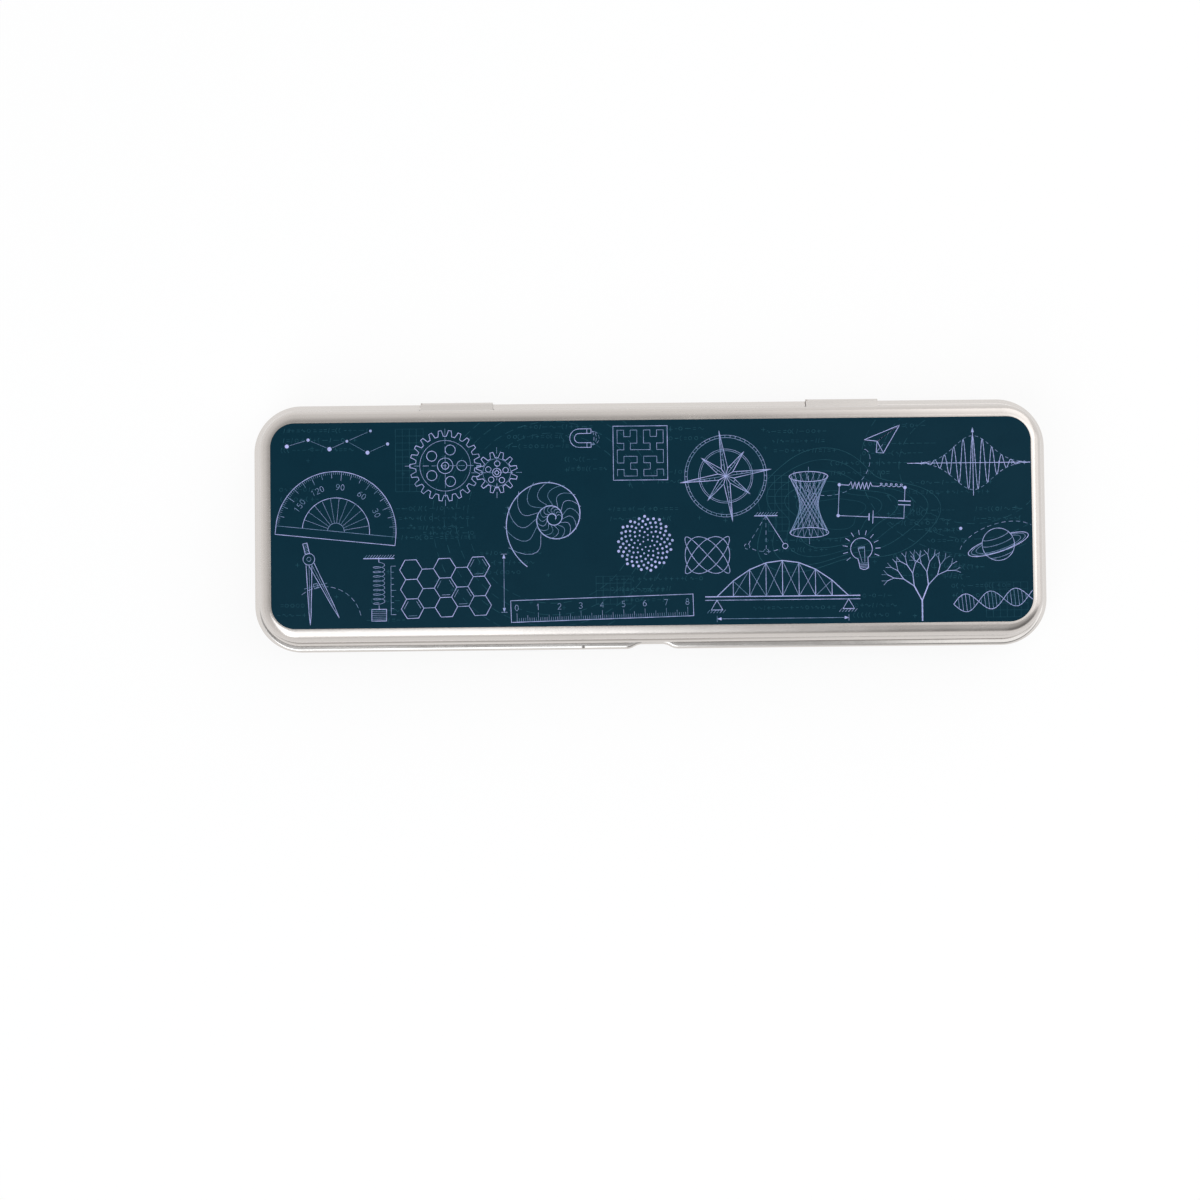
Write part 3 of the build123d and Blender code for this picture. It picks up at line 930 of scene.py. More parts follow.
def circuit(width, height):
    """A loop with a zigzag, a coil, two plates and a cell, joined by plain lines."""
    w, h, coil_start = width / 2, height / 2, width * 0.1
    zig = np.stack([np.linspace(-3, 3, 13), np.array([0, *[1, -1] * 5, 1, 0]) * 0.9], 1)
    strokes = [(np.vstack([line((-w, h)), zig + (-w * 0.35, h), line((coil_start, h))]), PLAIN)]
    t = np.linspace(0, 1, 70)
    coil_x = coil_start + 6.5 * t + 0.55 * np.sin(10 * np.pi * t)
    strokes += [(np.stack([coil_x, h + 0.85 * np.abs(np.sin(5 * np.pi * t))], 1), PLAIN)]
    strokes += [(line((coil_start + 6.5, h), (w, h), (w, 0.5)), PLAIN)]
    strokes += [(line((w, -0.5), (w, -h), (0.5, -h)), PLAIN)]
    strokes += [(line((w - 1.6, y), (w + 1.6, y)), THICK) for y in (-0.5, 0.5)]
    strokes += [(line((-0.5, -h), (-w, -h), (-w, h)), PLAIN), (line((0.5, -h - 1.7), (0.5, -h + 1.7)), PLAIN)]
    strokes += [(line((-0.5, -h - 0.9), (-0.5, -h + 0.9)), THICK)]
    return strokes + [dot(-w, h, 0.42), dot(-w, -h, 0.42), dot(w, h, 0.42)]


def magnet(size):
    """A horseshoe with marked ends, and field lines bowing from end to end."""
    strokes = []
    for r in (1, 0.5):
        strokes += [(np.vstack([line((-r, -1.3)), arc(0, 0, r, 180, -180), line((r, -1.3))]) * size, PLAIN)]
    strokes += [(line((s, y), (s * 0.5, y)) * size, PLAIN) for s in (-1, 1) for y in (-1.3, -0.85)]
    for reach in (0.35, 0.7, 1.1):
        strokes += with_width(dashes(arc(0, -1.35, 0.75, 180, 180, reach) * size, 0.9, 0.5), FINE)
    return strokes


def star_map(points, links):
    """Dots joined by thin lines that stop short of them."""
    strokes = [dot(x, y, r) for x, y, r in points]
    for a, b in links:
        p, q = np.array(points[a][:2]), np.array(points[b][:2])
        gap = (q - p) / np.hypot(*(q - p)) * 0.8
        strokes.append((line(p + gap, q - gap), HAIR))
    return strokes


# %% [markdown]
# ## The page
# The drawings are laid over the whole panel, some of them running off its edge as they do on a print cut from
# a larger sheet. The faint layer under them has rows of short strokes and small signs, patches of squared
# paper, long arcs and level lines, so that no part of the ground is empty.

# %% Bright drawings
STARS = [
    (-17, 3, 0.5), (-11.5, 4.6, 0.4), (-6, 2.2, 0.55), (-1.5, 4.2, 0.35),
    (3.8, 1.2, 0.5), (9, 3.4, 0.4), (4.6, 6.8, 0.35),
]
LINKS = [(0, 1), (1, 2), (2, 3), (3, 4), (4, 5), (3, 6)]
bright = []
for drawing, x, y, tilt in (
    (protractor(15.5), -81.5, -1.5, -6),
    (star_map(STARS, LINKS), -77, 17.6, 0),
    (dividers(17, 13), -88.5, -8.6, 14),
    (with_width(dashes(arc(-84.5, -25.2, 9.5, 12, 120), 1.3, 0.7), FINE), 0, 0, 0),
    (spring_scale(16.5), -70.5, -8.6, 0),
    (gear(8.4, 22), -53.2, 15.2, 0),
    (gear(4.6, 12, 15), -39.9, 13.3, 0),
    (honeycomb(2.9, 5, 3), -61.9, -21.6, 2),
    (measure((0, 0), (0, 15)), -38.3, -22.8, 0),
    (shell(14.2), -25.6, 1.4, -28),
    (ruler(44, 0, 8), -35.0, -25.4, 1.5),
    (folded_line(13.6), -9.6, 11.2, 0),
    (seed_head(7.2), -1.8, -5.4, 0),
    (wind_star(10.6), 19.2, 11.8, 8),
    (bridge(34, 9.2), 33.5, -19.4, 0),
    (looped_wave(11.5, 9.5), 14.2, -8.6, 0),
    (string_tower(10, 14.5), 40.6, 4.2, 0),
    (paper_plane(5.4), 59.5, 21.2, 12),
    (circuit(17, 8), 56.8, 4.8, -3),
    (wave_packet(30, 14), 83.2, 14.6, 0),
    (tree(19.5), 69.5, -26.6, 0),
    (ringed_planet(4.2), 89.4, -6.6, 0),
    (lamp_bulb(2.8), 54.0, -7.4, 8),
    (double_helix(26, 4.6, 2.0), 77.6, -22.0, 6),
    (pendulum(8.6), 29.4, 1.4, 0),
    (magnet(2.4), -18.6, 22.0, 90),
    (measure((0, 0), (34, 0)), 16.5, -25.1, 0),
):
    bright += moved(drawing, x, y, tilt=tilt)


# %% Faint ground
def small_signs(x, y, length):
    """One row of short strokes: bars, rings, crosses, waves and ticks of even height and uneven width."""
    strokes = []
    at = 0.0
    while at < length:
        kind = int(chance.integers(0, 8))
        wide = float(chance.uniform(0.5, 1.5))
        if kind <= 1:
            strokes.append(line((at, 0), (at + wide, 0)))
        elif kind == 2:
            strokes.append(arc(at + 0.4, 0, 0.42))
            wide = 0.9
        elif kind == 3:
            strokes += [line((at, 0), (at + 0.9, 0)), line((at + 0.45, -0.45), (at + 0.45, 0.45))]
            wide = 0.9
        elif kind == 4:
            strokes.append(line((at, -0.55), (at + 0.25, 0.6)))
            wide = 0.3
        elif kind == 5:
            t = np.linspace(0, 1, 9)
            strokes.append(np.stack([at + wide * t, 0.3 * np.sin(2 * np.pi * t)], 1))
        elif kind == 6:
            strokes += [line((at, 0.25), (at + 0.8, 0.25)), line((at, -0.25), (at + 0.8, -0.25))]
            wide = 0.8
        else:
            strokes.append(arc(at + 0.5, 0, 0.75, 120, 120))
            wide = 0.4
        at += wide + float(chance.uniform(0.35, 0.7))
    return moved(with_width(strokes, FINE), x, y)


def squared_paper(x, y, columns, rows_up, step=1.8):
    """A patch of fine squares, with its corner at the point."""
    across = [line((i * step, 0), (i * step, rows_up * step)) for i in range(columns + 1)]
    up = [line((0, j * step), (columns * step, j * step)) for j in range(rows_up + 1)]
    return moved(with_width(across + up, HAIR), x, y)


# Blocks of signs: their left end, their top row, how many rows, and how long.
BLOCKS = [
    (-96, 24.6, 3, 22), (-68, 4.2, 4, 24), (-74, -19.5, 3, 10), (-38, 22.5, 2, 24), (-12, 3.5, 2, 20),
    (-13, -14.6, 2, 24), (4, 24.2, 2, 10), (30, 23.2, 3, 16), (28, -5.0, 2, 22), (46, 14.8, 2, 19),
    (66, 2.4, 3, 14), (74, -12.4, 2, 10), (82, 2.6, 2, 15), (51, -19.5, 3, 11), (-97, -20.5, 2, 8),
    (62, 24.4, 1, 8), (70, -3.0, 2, 10), (-60, -2.2, 1, 16), (-22, 16.5, 2, 10), (-8, -17.5, 2, 12),
    (54, 19.8, 2, 18), (66, 9.6, 2, 22), (62, -9.4, 3, 20), (-46, -7.5, 3, 16), (24, -22.4, 1, 24),
    (-96, 9.4, 2, 12), (76, -17.2, 2, 20), (-36, 25.0, 1, 20), (0, 13.0, 2, 9), (60, 1.6, 2, 14),
]
faint = []
for left, top, count, length in BLOCKS:
    for row in range(count):
        faint += small_signs(left + chance.uniform(0, 2), top - 2.5 * row, length * chance.uniform(0.7, 1))
for patch in ((-66, 8.6, 4, 9), (30, -2.6, 3, 8), (86, -25.4, 6, 5), (-14.6, -21, 5, 4)):
    faint += squared_paper(*patch)
for radius in (22, 25, 28, 31):
    faint += with_width(dashes(arc(-25.6, 1.4, radius, 20, 320), 2.2, 1.2), FINE)
for radius in (19, 24, 29):
    faint += with_width(dashes(arc(83, 14, radius, 0, 360, 0.8), 2.0, 1.3), FINE)

# Level lines: rings with three and five waves, growing by even steps.
level = np.linspace(0, 2 * np.pi, 90)
for k in range(6):
    size = 4.0 + 2.1 * k
    ring = size * (1 + 0.16 * np.sin(3 * level + 0.4 * k) + 0.07 * np.sin(5 * level))
    faint.append((np.stack([48 + 1.6 * ring * np.cos(level), 2 + ring * np.sin(level)], 1), FINE))

# Small crosses at chance places.
cross_at = chance.uniform((-96, -25), (96, 25), (60, 2))
faint += [(line((x - 0.5, y), (x + 0.5, y)), FINE) for x, y in cross_at]
faint += [(line((x, y - 0.5), (x, y + 0.5)), FINE) for x, y in cross_at]
print(len(bright), "bright strokes,", len(faint), "faint ones")

# %% [markdown]
# ## Strokes into ink
# A stroke is cut off at the panel's edge, broken into short steps, and given a slightly uneven width, as an
# engraved line has. Then it becomes a flat ribbon with thin sides: at every point, two corners go half the
# width to the left and right, across the mean direction of its neighbours, and further at a bend so that
# the width holds. A dot becomes a disc.

# %% Cutting and dividing
EDGE_X, EDGE_Y, EDGE_R = 98.1, 26.4, 6.1
CUT_STEP, INK_STEP = 0.2, 0.8


def beyond_edge(points):
    """Distance outside the rounded rectangle, negative inside it."""
    over = np.abs(points) - (EDGE_X - EDGE_R, EDGE_Y - EDGE_R)
    return np.hypot(*np.maximum(over, 0).T) + np.minimum(over.max(1), 0) - EDGE_R


def finer(points, width, step):
    """The same line with points no more than a step apart, and its width at each of them."""
    gone = travelled(points)
    extra = np.linspace(0, gone[-1], max(2, math.ceil(gone[-1] / step) + 1))
    corners = gone[np.abs(extra[:, None] - gone[None]).min(0) > step * 0.12]
    at = np.unique(np.concatenate([extra, corners]))
    wide = np.interp(at, gone, np.broadcast_to(width, gone.shape))
    return points_at(at, gone, points), wide


def cut_at_edge(strokes):
    """Strokes that lie on the panel, in pieces where they leave it and come back."""
    kept = []
    for points, width in strokes:
        outside = beyond_edge(points)
        if len(points) == 1:
            kept += [(points, width)] if outside[0] < -width / 2 else []
            continue
        if outside.max() < 0:
            kept.append((points, width))
            continue
        points, width = finer(points, width, CUT_STEP)
        on = np.concatenate([[False], beyond_edge(points) < 0, [False]])
        starts, stops = np.flatnonzero(~on[:-1] & on[1:]), np.flatnonzero(on[:-1] & ~on[1:])
        kept += [(points[a:b], width[a:b]) for a, b in zip(starts, stops) if b - a > 2]
    return kept


# %% Ribbons and discs
INK_FOOT, APRON, GOLDEN_SHARE = PANEL_Z - 0.005, 0.01, 0.6180339


def joined(strokes):
    """All strokes as single arrays: points, widths, and for each point the ones before and after it in its
    stroke, or -1 at an open end. A closed stroke loses its repeated last point, and its ends are linked."""
    points, widths, before, after, tones = [], [], [], [], []
    count = 0
    for number, (shape, width) in enumerate(strokes):
        shape, width = finer(shape, width, INK_STEP)
        closed = len(shape) > 3 and np.hypot(*(shape[0] - shape[-1])) < 1e-6
        if closed:
            shape, width = shape[:-1], width[:-1]
        index = np.arange(len(shape)) + count
        back, onward = index - 1, index + 1
        back[0], onward[-1] = (index[-1], index[0]) if closed else (-1, -1)
        points.append(shape)
        widths.append(width * (1 + 0.12 * np.sin(np.arange(len(shape)) * 0.9 + number)))
        before.append(back)
        after.append(onward)
        tones.append(np.full(len(shape), number))
        count += len(shape)
    return [np.concatenate(a) for a in (points, widths, before, after, tones)]


def ribbon_mesh(strokes, base, rise, cycle):
    """Points and faces of all ribbons. The sideways direction at a point is the mean of the normals of the
    lines on either side of it, lengthened to hold the width through the bend. Each stroke's top has a height
    of its own, base + rise * (number modulo cycle) / cycle, so that crossing strokes don't share a plane."""
    points, widths, before, after, number = joined(strokes)
    here = np.arange(len(points))
    inward = points - points[np.where(before < 0, here, before)]
    outward = points[np.where(after < 0, here, after)] - points
    first, last = (before < 0)[:, None], (after < 0)[:, None]
    inward, outward = np.where(first, outward, inward), np.where(last, inward, outward)
    unit = [d / np.maximum(np.hypot(*d.T), 1e-9)[:, None] for d in (inward, outward)]
    normals = [np.stack([-u[:, 1], u[:, 0]], 1) for u in unit]
    mean = normals[0] + normals[1]
    mean /= np.maximum(np.hypot(*mean.T), 1e-3)[:, None]
    hold = 1 / np.clip((mean * normals[0]).sum(1), 0.5, 1)
    sideways = mean * (widths / 2 * hold)[:, None]
    foot = sideways + mean * (hold * APRON)[:, None]
    top = (base + rise * (number % cycle) / cycle)[:, None]
    low = np.full((len(points), 1), INK_FOOT)
    corners = [(points + sideways, top), (points - sideways, top), (points + foot, low), (points - foot, low)]
    table = np.concatenate([np.hstack(c) for c in corners])
    left, right, left_low, right_low = np.arange(4) * len(points)
    a, b = here[after >= 0], after[after >= 0]
    quads = [
        np.stack([a + right, b + right, b + left, a + left], 1),
        np.stack([a + right, a + right_low, b + right_low, b + right], 1),
        np.stack([a + left, b + left, b + left_low, a + left_low], 1),
        np.stack([a + left_low, b + left_low, b + right_low, a + right_low], 1),
    ]
    s, e = here[before < 0], here[after < 0]
    quads.append(np.stack([s + left, s + left_low, s + right_low, s + right], 1))
    quads.append(np.stack([e + right, e + right_low, e + left_low, e + left], 1))
    return table, np.concatenate(quads), np.tile(number, 4), np.tile(widths, 4)


def disc_mesh(dots, base, rise, cycle, sides):
    """Points and faces of all dots: a rim on top and one below it, with a top, a bottom and a wall."""
    middle = np.array([p[0] for p, w in dots])
    radius = np.array([w / 2 for p, w in dots])
    number = np.arange(len(dots)) * 7
    rim = ray(np.linspace(0, 360, sides, endpoint=False))
    top = base + rise * (number % cycle) / cycle
    rims = []
    for height, wider in ((top, 0.0), (np.full(len(dots), INK_FOOT), APRON)):
        flat = middle[:, None] + rim[None] * (radius + wider)[:, None, None]
        rims.append(np.concatenate([flat, np.broadcast_to(height[:, None, None], flat.shape[:2] + (1,))], -1))
    table = np.concatenate([r.reshape(-1, 3) for r in rims])
    upper = np.arange(len(dots) * sides).reshape(-1, sides)
    lower = upper + upper.size
    wall = np.stack([upper, lower, np.roll(lower, -1, 1), np.roll(upper, -1, 1)], -1).reshape(-1, 4)
    faces = upper.tolist() + lower[:, ::-1].tolist() + wall.tolist()
    return table, faces, np.tile(np.repeat(number, sides), 2)


def ink(name, strokes, base, rise, cycle, sides):
    """One object for a whole layer of the drawing. Its attribute 'tone' differs from stroke to stroke, and is
    higher for thin ones: 0.55 * a share from 0 to 1 + 0.75 * how thin."""
    strokes = cut_at_edge(strokes)
    lines = [s for s in strokes if len(s[0]) > 1]
    dots = [s for s in strokes if len(s[0]) == 1]
    table, faces, number, width = ribbon_mesh(lines, base, rise, cycle)
    faces = faces.tolist()
    if dots:
        more, more_faces, more_number = disc_mesh(dots, base, rise, cycle, sides)
        faces += [[i + len(table) for i in face] for face in more_faces]
        table, number = np.concatenate([table, more]), np.concatenate([number, more_number])
        width = np.concatenate([width, np.full(len(more), PLAIN)])
    thin = np.clip((PLAIN - width) / (PLAIN - FINE), 0, 1)
    tone = 0.55 * ((number * GOLDEN_SHARE) % 1) + 0.75 * thin
    return piece(name, table, faces, {"tone": tone}, merge=False)


lilac = ink("ink_lilac", bright, base=20.088, rise=0.010, cycle=97, sides=16)
shadow_ink = ink("ink_faint", faint, base=20.082, rise=0.004, cycle=89, sides=8)

# %% [markdown]
# ## Shader arithmetic
# Shader trees are made of nodes, and a formula needs one node for each sign in it. A small wrapper lets the
# formulas be written as formulas: each plus or times adds a Math node and gives back its output.


# %% Wires and paints
class Wire:
    """One output of a shader tree, which can be added, multiplied and so on."""

    def __init__(self, nodes, socket):
        self.nodes, self.socket = nodes, socket

    def math(self, kind, *others):
        sockets = dict(enumerate((self, *others)))
        return self.nodes.node("ShaderNodeMath", {"operation": kind}, sockets)

    def __add__(self, other):
        return self.math("ADD", other)

    def __mul__(self, other):
        return self.math("MULTIPLY", other)

    def __sub__(self, other):
        return self.math("SUBTRACT", other)

    def __rsub__(self, other):
        return self * -1 + other

    __radd__, __rmul__ = __add__, __mul__

    def between(self, low, high):
        """0 below low and 1 above high, straight between them. Low may be the larger one."""
        sockets = {"Value": self, "From Min": low, "From Max": high}
        return self.nodes.node("ShaderNodeMapRange", {"clamp": True}, sockets)

    def stretched(self, x, y, z):
        """A vector with each of its three numbers multiplied."""
        return self.nodes.node("ShaderNodeVectorMath", {"operation": "MULTIPLY"}, {0: self, 1: (x, y, z)})

    def distance(self, point):
        """How far this vector is from a point."""
        settings = {"operation": "DISTANCE"}
        return self.nodes.node("ShaderNodeVectorMath", settings, {0: self, 1: point}, out="Value")


class Nodes:
    """A shader tree, and a short way to add nodes to it."""

    def __init__(self, tree):
        self.tree = tree

    def node(self, kind, settings=None, sockets=None, out=0):
        """Add a node, apply its settings first, then feed its inputs with wires or values."""
        made = self.tree.nodes.new(kind)
        for key, value in (settings or {}).items():
            setattr(made, key, value)
        for key, value in (sockets or {}).items():
            self.feed(made.inputs[key], value)
        return Wire(self, made.outputs[out])

    def feed(self, slot, value):
        """Link a wire to an input, or give the input a fixed value."""
        if isinstance(value, Wire):
            self.tree.links.new(value.socket, slot)
        else:
            slot.default_value = value


class Paint(Nodes):
    """A material with its Principled shader."""

    def __init__(self, name, **constants):
        self.material = bpy.data.materials.new(name)
        self.material.use_nodes = True
        super().__init__(self.material.node_tree)
        self.shader = self.tree.nodes["Principled BSDF"]
        for key, value in constants.items():
            self.shader.inputs[key.replace("_", " ")].default_value = value

    def set(self, name, value):
        """Feed one of the Principled shader's inputs."""
        self.feed(self.shader.inputs[name], value)

    def place(self):
        """The point of the tin that is being shaded, in metres."""
        return self.node("ShaderNodeTexCoord", out="Object")

    def attribute(self, name):
        """A number that the mesh keeps for each of its points."""
        return self.node("ShaderNodeAttribute", {"attribute_name": name}, out="Fac")

    def noise(self, where, scale, detail=2.0, rough=0.5):
        """Smooth noise round 0.5. A scale of 100 gives spots about a centimetre wide."""
        sockets = {"Vector": where, "Scale": scale, "Detail": detail, "Roughness": rough}
        return self.node("ShaderNodeTexNoise", None, sockets, out="Fac")

    def blend(self, share, first, second):
        """Colour mixed from the first at share 0 to the second at share 1."""
        return self.node("ShaderNodeMix", {"data_type": "RGBA"}, {0: share, 6: first, 7: second}, out=2)

    def bump(self, height, strength, distance):
        """Tilt the normal by the slope of a height, where a height of 1 stands for the distance in metres."""
        sockets = {"Strength": strength, "Distance": distance, "Height": height}
        self.set("Normal", self.node("ShaderNodeBump", None, sockets, out="Normal"))


def rgb(red, green, blue):
    """Linear colour of a screen colour in 0 to 255, by the standard curve."""
    screen = np.array([red, green, blue]) / 255
    linear = np.where(screen <= 0.04045, screen / 12.92, ((screen + 0.055) / 1.055) ** 2.4)
    return (*linear.tolist(), 1.0)


# %% [markdown]
# ## The finish of tinplate
# Tinplate is steel with a skin of tin, rolled and then varnished: a faintly warm, satin silver with a fine
# grain. Close up, it has streaks along the direction of rolling, faint smudges from hands and a few hair
# scratches, and most of this is in how rough it is. The colour changes where the metal has seen more: rubbed
# edges are smoother and brighter, the inside is warmer, and grime and painted shade darken the crevices.
# There are also a small dark mark in front and two spots of painted shade at the ends of the hinges, where a
# gap shows dark.

# %% Tinplate
tin = Paint("tinplate", Metallic=1.0, IOR=1.5)
where = tin.place()
wear = tin.attribute("wear")
inside = tin.attribute("inside")
grain = tin.noise(where, 2600, 2.0, 0.6)
streaks = tin.noise(where.stretched(9, 900, 900), 1.0, 3.0, 0.6)
smudges = tin.noise(where, 55, 4.0, 0.65).between(0.42, 0.68)
blotches = tin.noise(where, 190, 2.0, 0.5)
scratch_lines = tin.noise(where.stretched(60, 1900, 900), 1.0, 1.0, 0.4).between(0.735, 0.76)
scratch_places = tin.noise(where, 75, 1.0, 0.5).between(0.56, 0.62)
scratches = scratch_lines * scratch_places

roughness = 0.215 + (grain - 0.5) * 0.08 + (streaks - 0.5) * 0.09 + smudges * 0.06 + (blotches - 0.5) * 0.05
roughness = roughness - wear * 0.05 + inside * 0.04 + scratches * 0.14
tin.set("Roughness", roughness)

# What lies over the rolled metal: where it is, how strong, and its linear colour.
# A small dark mark on the bead in front, left of the notch.
front_dark_mark = where.distance((-0.018, -0.03168, 0.00972)).between(0.00052, 0.00027)
# Two spots of painted shade at the left ends of the hinges, where the gap beside the strap shows dark.
hinge_gap_shades = [where.distance((x, 0.0322, 0.0093)).between(0.00075, 0.00025) for x in (-0.0599, 0.0411)]
layers = [
    (smudges, 0.15, (0.55, 0.512, 0.485)),
    (wear, 0.5, (0.76, 0.730, 0.705)),
    (inside, 0.5, (0.66, 0.625, 0.575)),
    # Grime and painted shade in the crevices and grooves.
    (tin.attribute("grime"), 0.75, (0.17, 0.145, 0.125)),
    (front_dark_mark, 0.85, (0.06, 0.05, 0.045)),
    *[(gap_shade, 0.8, (0.20, 0.145, 0.10)) for gap_shade in hinge_gap_shades],
]
metal = tin.blend((streaks - 0.5) * 0.9 + 0.5, (0.580, 0.540, 0.510, 1), (0.640, 0.600, 0.570, 1))
for place, strength, colour in layers:
    metal = tin.blend(place * strength, metal, (*colour, 1))
tin.set("Base Color", metal)
tin.bump((grain - 0.5) * 0.15 + (streaks - 0.5) * 0.45 - scratches * 1.0, 0.2, 0.00003)

# %% [markdown]
# ## The finish of the print
# The print is opaque ink under a thin varnish. The ground is a dark petrol blue that is slightly uneven, and
# the line inks are the same ink with pigment in it, so they share the varnish's gloss. Ink on metal has a
# very fine orange peel, and the lilac is thinner in places, where the dark ground shows through a little.


# %% Print
def print_paint(name, colour, uneven, darker):
    """One ink: its colour is mixed towards a darker one by fine noise and by the stroke's own tone."""
    paint = Paint(name, Metallic=0.0, IOR=1.45, Specular_IOR_Level=0.035)
    spot = paint.place()
    fine, broad = paint.noise(spot, 4200, 2.0, 0.6), paint.noise(spot, 130, 3.0, 0.6)
    share = (fine - 0.5) * uneven + (broad - 0.5) * (uneven * 0.8) + 0.1
    share = share + paint.attribute("tone") * (uneven * 0.6)
    paint.set("Base Color", paint.blend(share.between(0, 1), colour, darker))
    hairs = paint.noise(spot.stretched(900, 60, 60), 1.0, 2.0).between(0.66, 0.72)
    scuffs = hairs * paint.noise(spot, 60).between(0.55, 0.62)
    paint.set("Roughness", 0.36 + (fine - 0.5) * 0.08 + (broad - 0.5) * 0.12 + scuffs * 0.15)
    paint.bump(paint.noise(spot, 1500, 2.0), 0.25, 0.00002)
    return paint


ground = print_paint("print_ground", rgb(11, 45, 59), 0.9, rgb(6, 36, 50))
lilac_ink = print_paint("print_lilac", rgb(182, 185, 240), 1.1, rgb(90, 124, 154))
faint_ink = print_paint("print_faint", rgb(48, 94, 107), 1.2, rgb(28, 66, 81))

# %% [markdown]
# ## Pieces to bodies
# Each mesh gets its material and is told which moving body of the CAD model it rides on, and the CAD node
# that it stands for is hidden. The ink rides on the lid with the panel.

# %% Wiring
for obj, paint, body, slot, node in (
    (base, tin, "base", "tinplate", "base_pan"),
    (lid, tin, "lid", "tinplate", "lid_shell"),
    (panel, ground, "lid", "print", "lid_print"),
    (lilac, lilac_ink, "lid", "print", None),
    (shadow_ink, faint_ink, "lid", "print", None),
):
    obj.data.materials.append(paint.material)
    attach(obj, body)
    if node:
        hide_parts(node)

# %% [markdown]
# ## A white table
# The photograph has a pure white ground with hardly any shadow. Here the floor is a large plane. Rays from
# the camera, and those seen in reflections and through glass, get mostly a plain white from it, so that it
# looks white and still shows a soft shadow. Light that bounces off it onto the tin comes from a plain
# diffuse white, as on a real table.


# %% Floor
def white_floor(name, height, half):
    """A square floor whose look to camera, glossy and transmission rays is part white light, part diffuse."""
    mesh = bpy.data.meshes.new(name)
    corners = [(-half, -half, height), (half, -half, height), (half, half, height), (-half, half, height)]
    mesh.from_pydata(corners, [], [(0, 1, 2, 3)])
    floor = bpy.data.objects.new(name, mesh)
    bpy.context.scene.collection.objects.link(floor)
    paint = Paint(name)
    kinds = ("Is Camera Ray", "Is Glossy Ray", "Is Transmission Ray")
    seen, mirrored, through = [paint.node("ShaderNodeLightPath", out=kind) for kind in kinds]
    looked_at = seen.math("MAXIMUM", mirrored).math("MAXIMUM", through)
    glow = paint.node("ShaderNodeEmission", None, {"Color": (1, 1, 1, 1), "Strength": 1.0})
    matt = paint.node("ShaderNodeBsdfDiffuse", None, {"Color": (0.95, 0.95, 0.95, 1)})
    mixed = paint.node("ShaderNodeMixShader", None, {0: looked_at * 0.85, 1: matt, 2: glow})
    paint.tree.links.new(mixed.socket, paint.tree.nodes["Material Output"].inputs["Surface"])
    paint.tree.nodes.remove(paint.shader)
    mesh.materials.append(paint.material)


white_floor("table", height=-0.0001, half=3.0)

# %% [markdown]
# ## Studio light
# Metal shows what is around it, so the lights are placed by what each bend of the tin should mirror: two
# softboxes at the right, one above the other, one at the back right, and two faintly blue ones in front, a
# narrow one by the middle and one at the left.


# %% Softboxes
COOL = (0.92, 0.96, 1)


def softbox(name, upper, lower, width, radiance, tint=(1, 1, 1)):
    """A rectangular lamp hung between the middles of its upper and lower edges, facing the tin. Its power in
    watts is radiance * area * pi."""
    upper, lower = mathutils.Vector(upper), mathutils.Vector(lower)
    lamp = bpy.data.lights.new(name, "AREA")
    lamp.shape = "RECTANGLE"
    lamp.size, lamp.size_y = width, (upper - lower).length
    lamp.energy = radiance * lamp.size * lamp.size_y * math.pi
    lamp.color = tint
    obj = bpy.data.objects.new(name, lamp)
    up = (upper - lower).normalized()
    back = (upper + lower).normalized()
    back = (back - up * back.dot(up)).normalized()
    side_way = up.cross(back)
    obj.matrix_world = mathutils.Matrix((side_way, up, back)).transposed().to_4x4()
    obj.location = (upper + lower) / 2
    bpy.context.scene.collection.objects.link(obj)


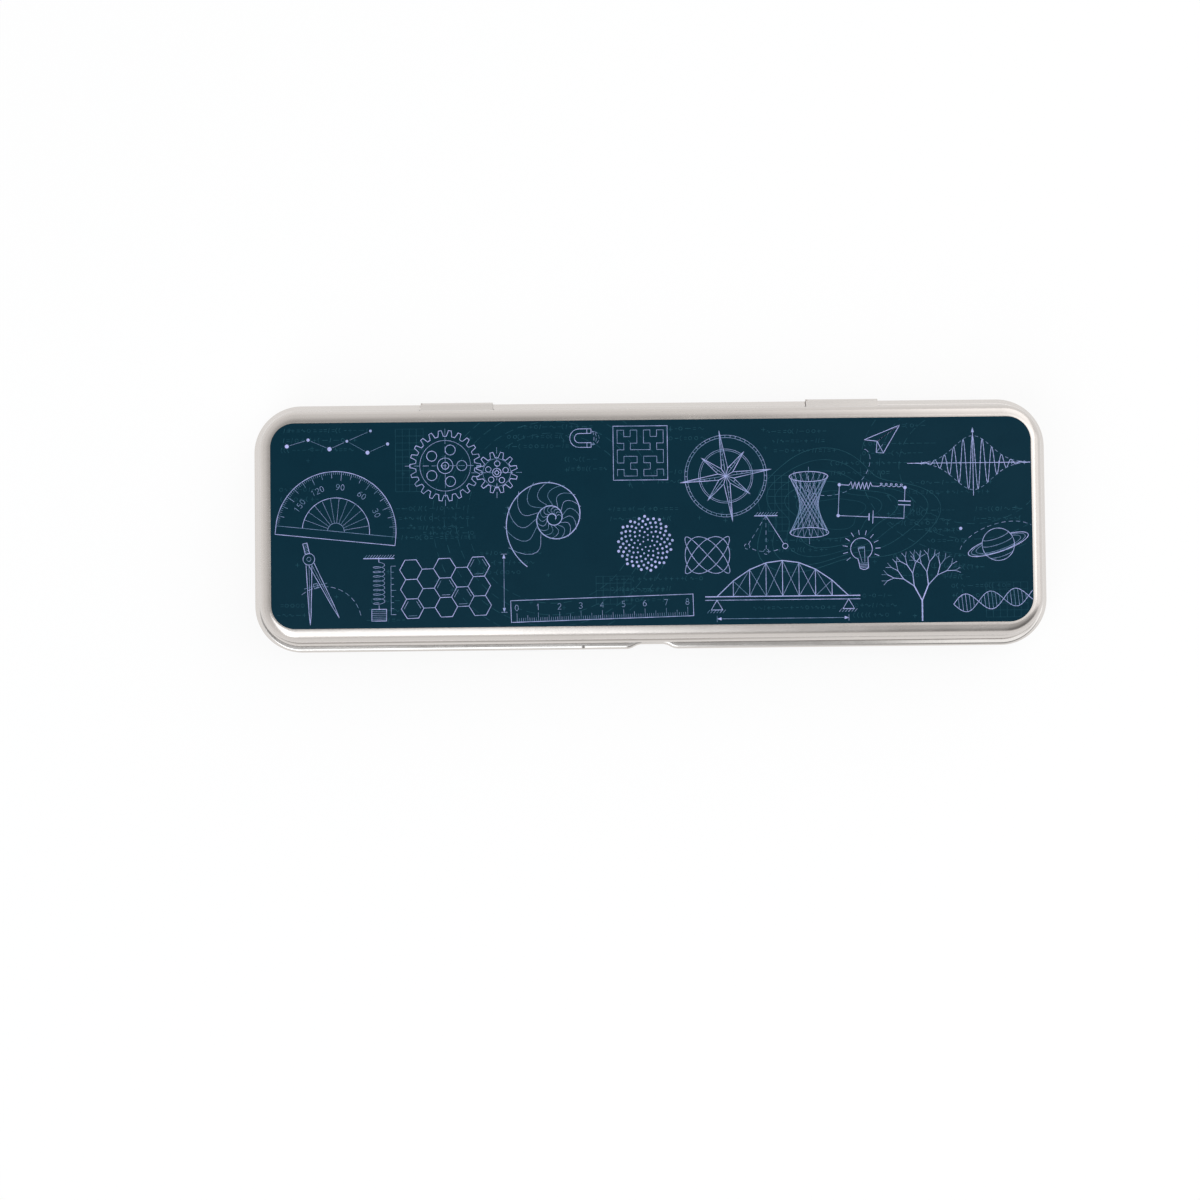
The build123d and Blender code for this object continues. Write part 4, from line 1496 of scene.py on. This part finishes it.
softbox("softbox_right", (0.21, 0.05, 1.20), (0.80, 0.05, 0.68), 0.66, 0.70)
softbox("softbox_right_low", (0.82, 0.05, 0.66), (1.25, 0.05, 0.05), 0.60, 0.40)
softbox("softbox_back_right", (0.63, 0.15, 1.25), (0.63, 1.25, 0.05), 1.00, 0.76)
softbox("softbox_front", (-0.105, -0.02, 1.20), (-0.065, -1.22, 0.60), 0.25, 1.42, COOL)
softbox("softbox_front_left", (-0.47, -0.22, 1.10), (-0.47, -1.27, 0.45), 0.48, 1.70, COOL)

# %% [markdown]
# ## The room
# Between the lamps the metal mirrors the room, so the room's brightness is a formula of the direction. It
# falls from the horizon to a grey overhead, where the camera looks down from, and slowly at first, because
# the height is taken to the power 3.2. The corner at the front right loses up to three quarters of its
# light, from just above the horizon up. A picture of a real room would be the usual way, but a formula is
# easier to fit to a photograph.

# %% The room
HORIZON, OVERHEAD, CORNER_LOSS = 0.88, 0.40, 0.75
world = bpy.data.worlds.new("room")
bpy.context.scene.world = world
world.use_nodes = True
room = Nodes(world.node_tree)
towards = room.node("ShaderNodeTexCoord", out="Generated")
x, y, z = [room.node("ShaderNodeSeparateXYZ", None, {0: towards}, out=axis) for axis in "XYZ"]
height = room.node("ShaderNodeMath", {"operation": "POWER", "use_clamp": True}, {0: z, 1: 3.2})
corner = x.between(0.03, 0.12) * y.between(-0.15, -0.50) * z.between(0.97, 0.45) * z.between(0.02, 0.12)
background = room.tree.nodes["Background"]
room.feed(background.inputs["Color"], (1, 1, 1, 1))
strength = (HORIZON - height * (HORIZON - OVERHEAD)) * (1 - corner * CORNER_LOSS)
room.feed(background.inputs["Strength"], strength)

# %% [markdown]
# ## The camera
# Its place, turn and focal length were fitted to points of the photograph: the corners of the printed panel
# and the outline of the bead, whose sizes are known from the CAD model. It looks nearly straight down from
# 0.7 m, from a point 49 mm in front of the tin's middle and 21 mm to its left.

# %% Camera
camera_data = bpy.data.cameras.new("camera")
camera_data.lens, camera_data.sensor_width = 79.25, 36.0
camera = bpy.data.objects.new("camera", camera_data)
camera.location = (-0.02119, -0.04902, 0.700)
camera.rotation_euler = [math.radians(a) for a in (2.459, -0.608, -0.650)]
bpy.context.scene.collection.objects.link(camera)
bpy.context.scene.camera = camera
bpy.context.scene.view_settings.view_transform = "Standard"
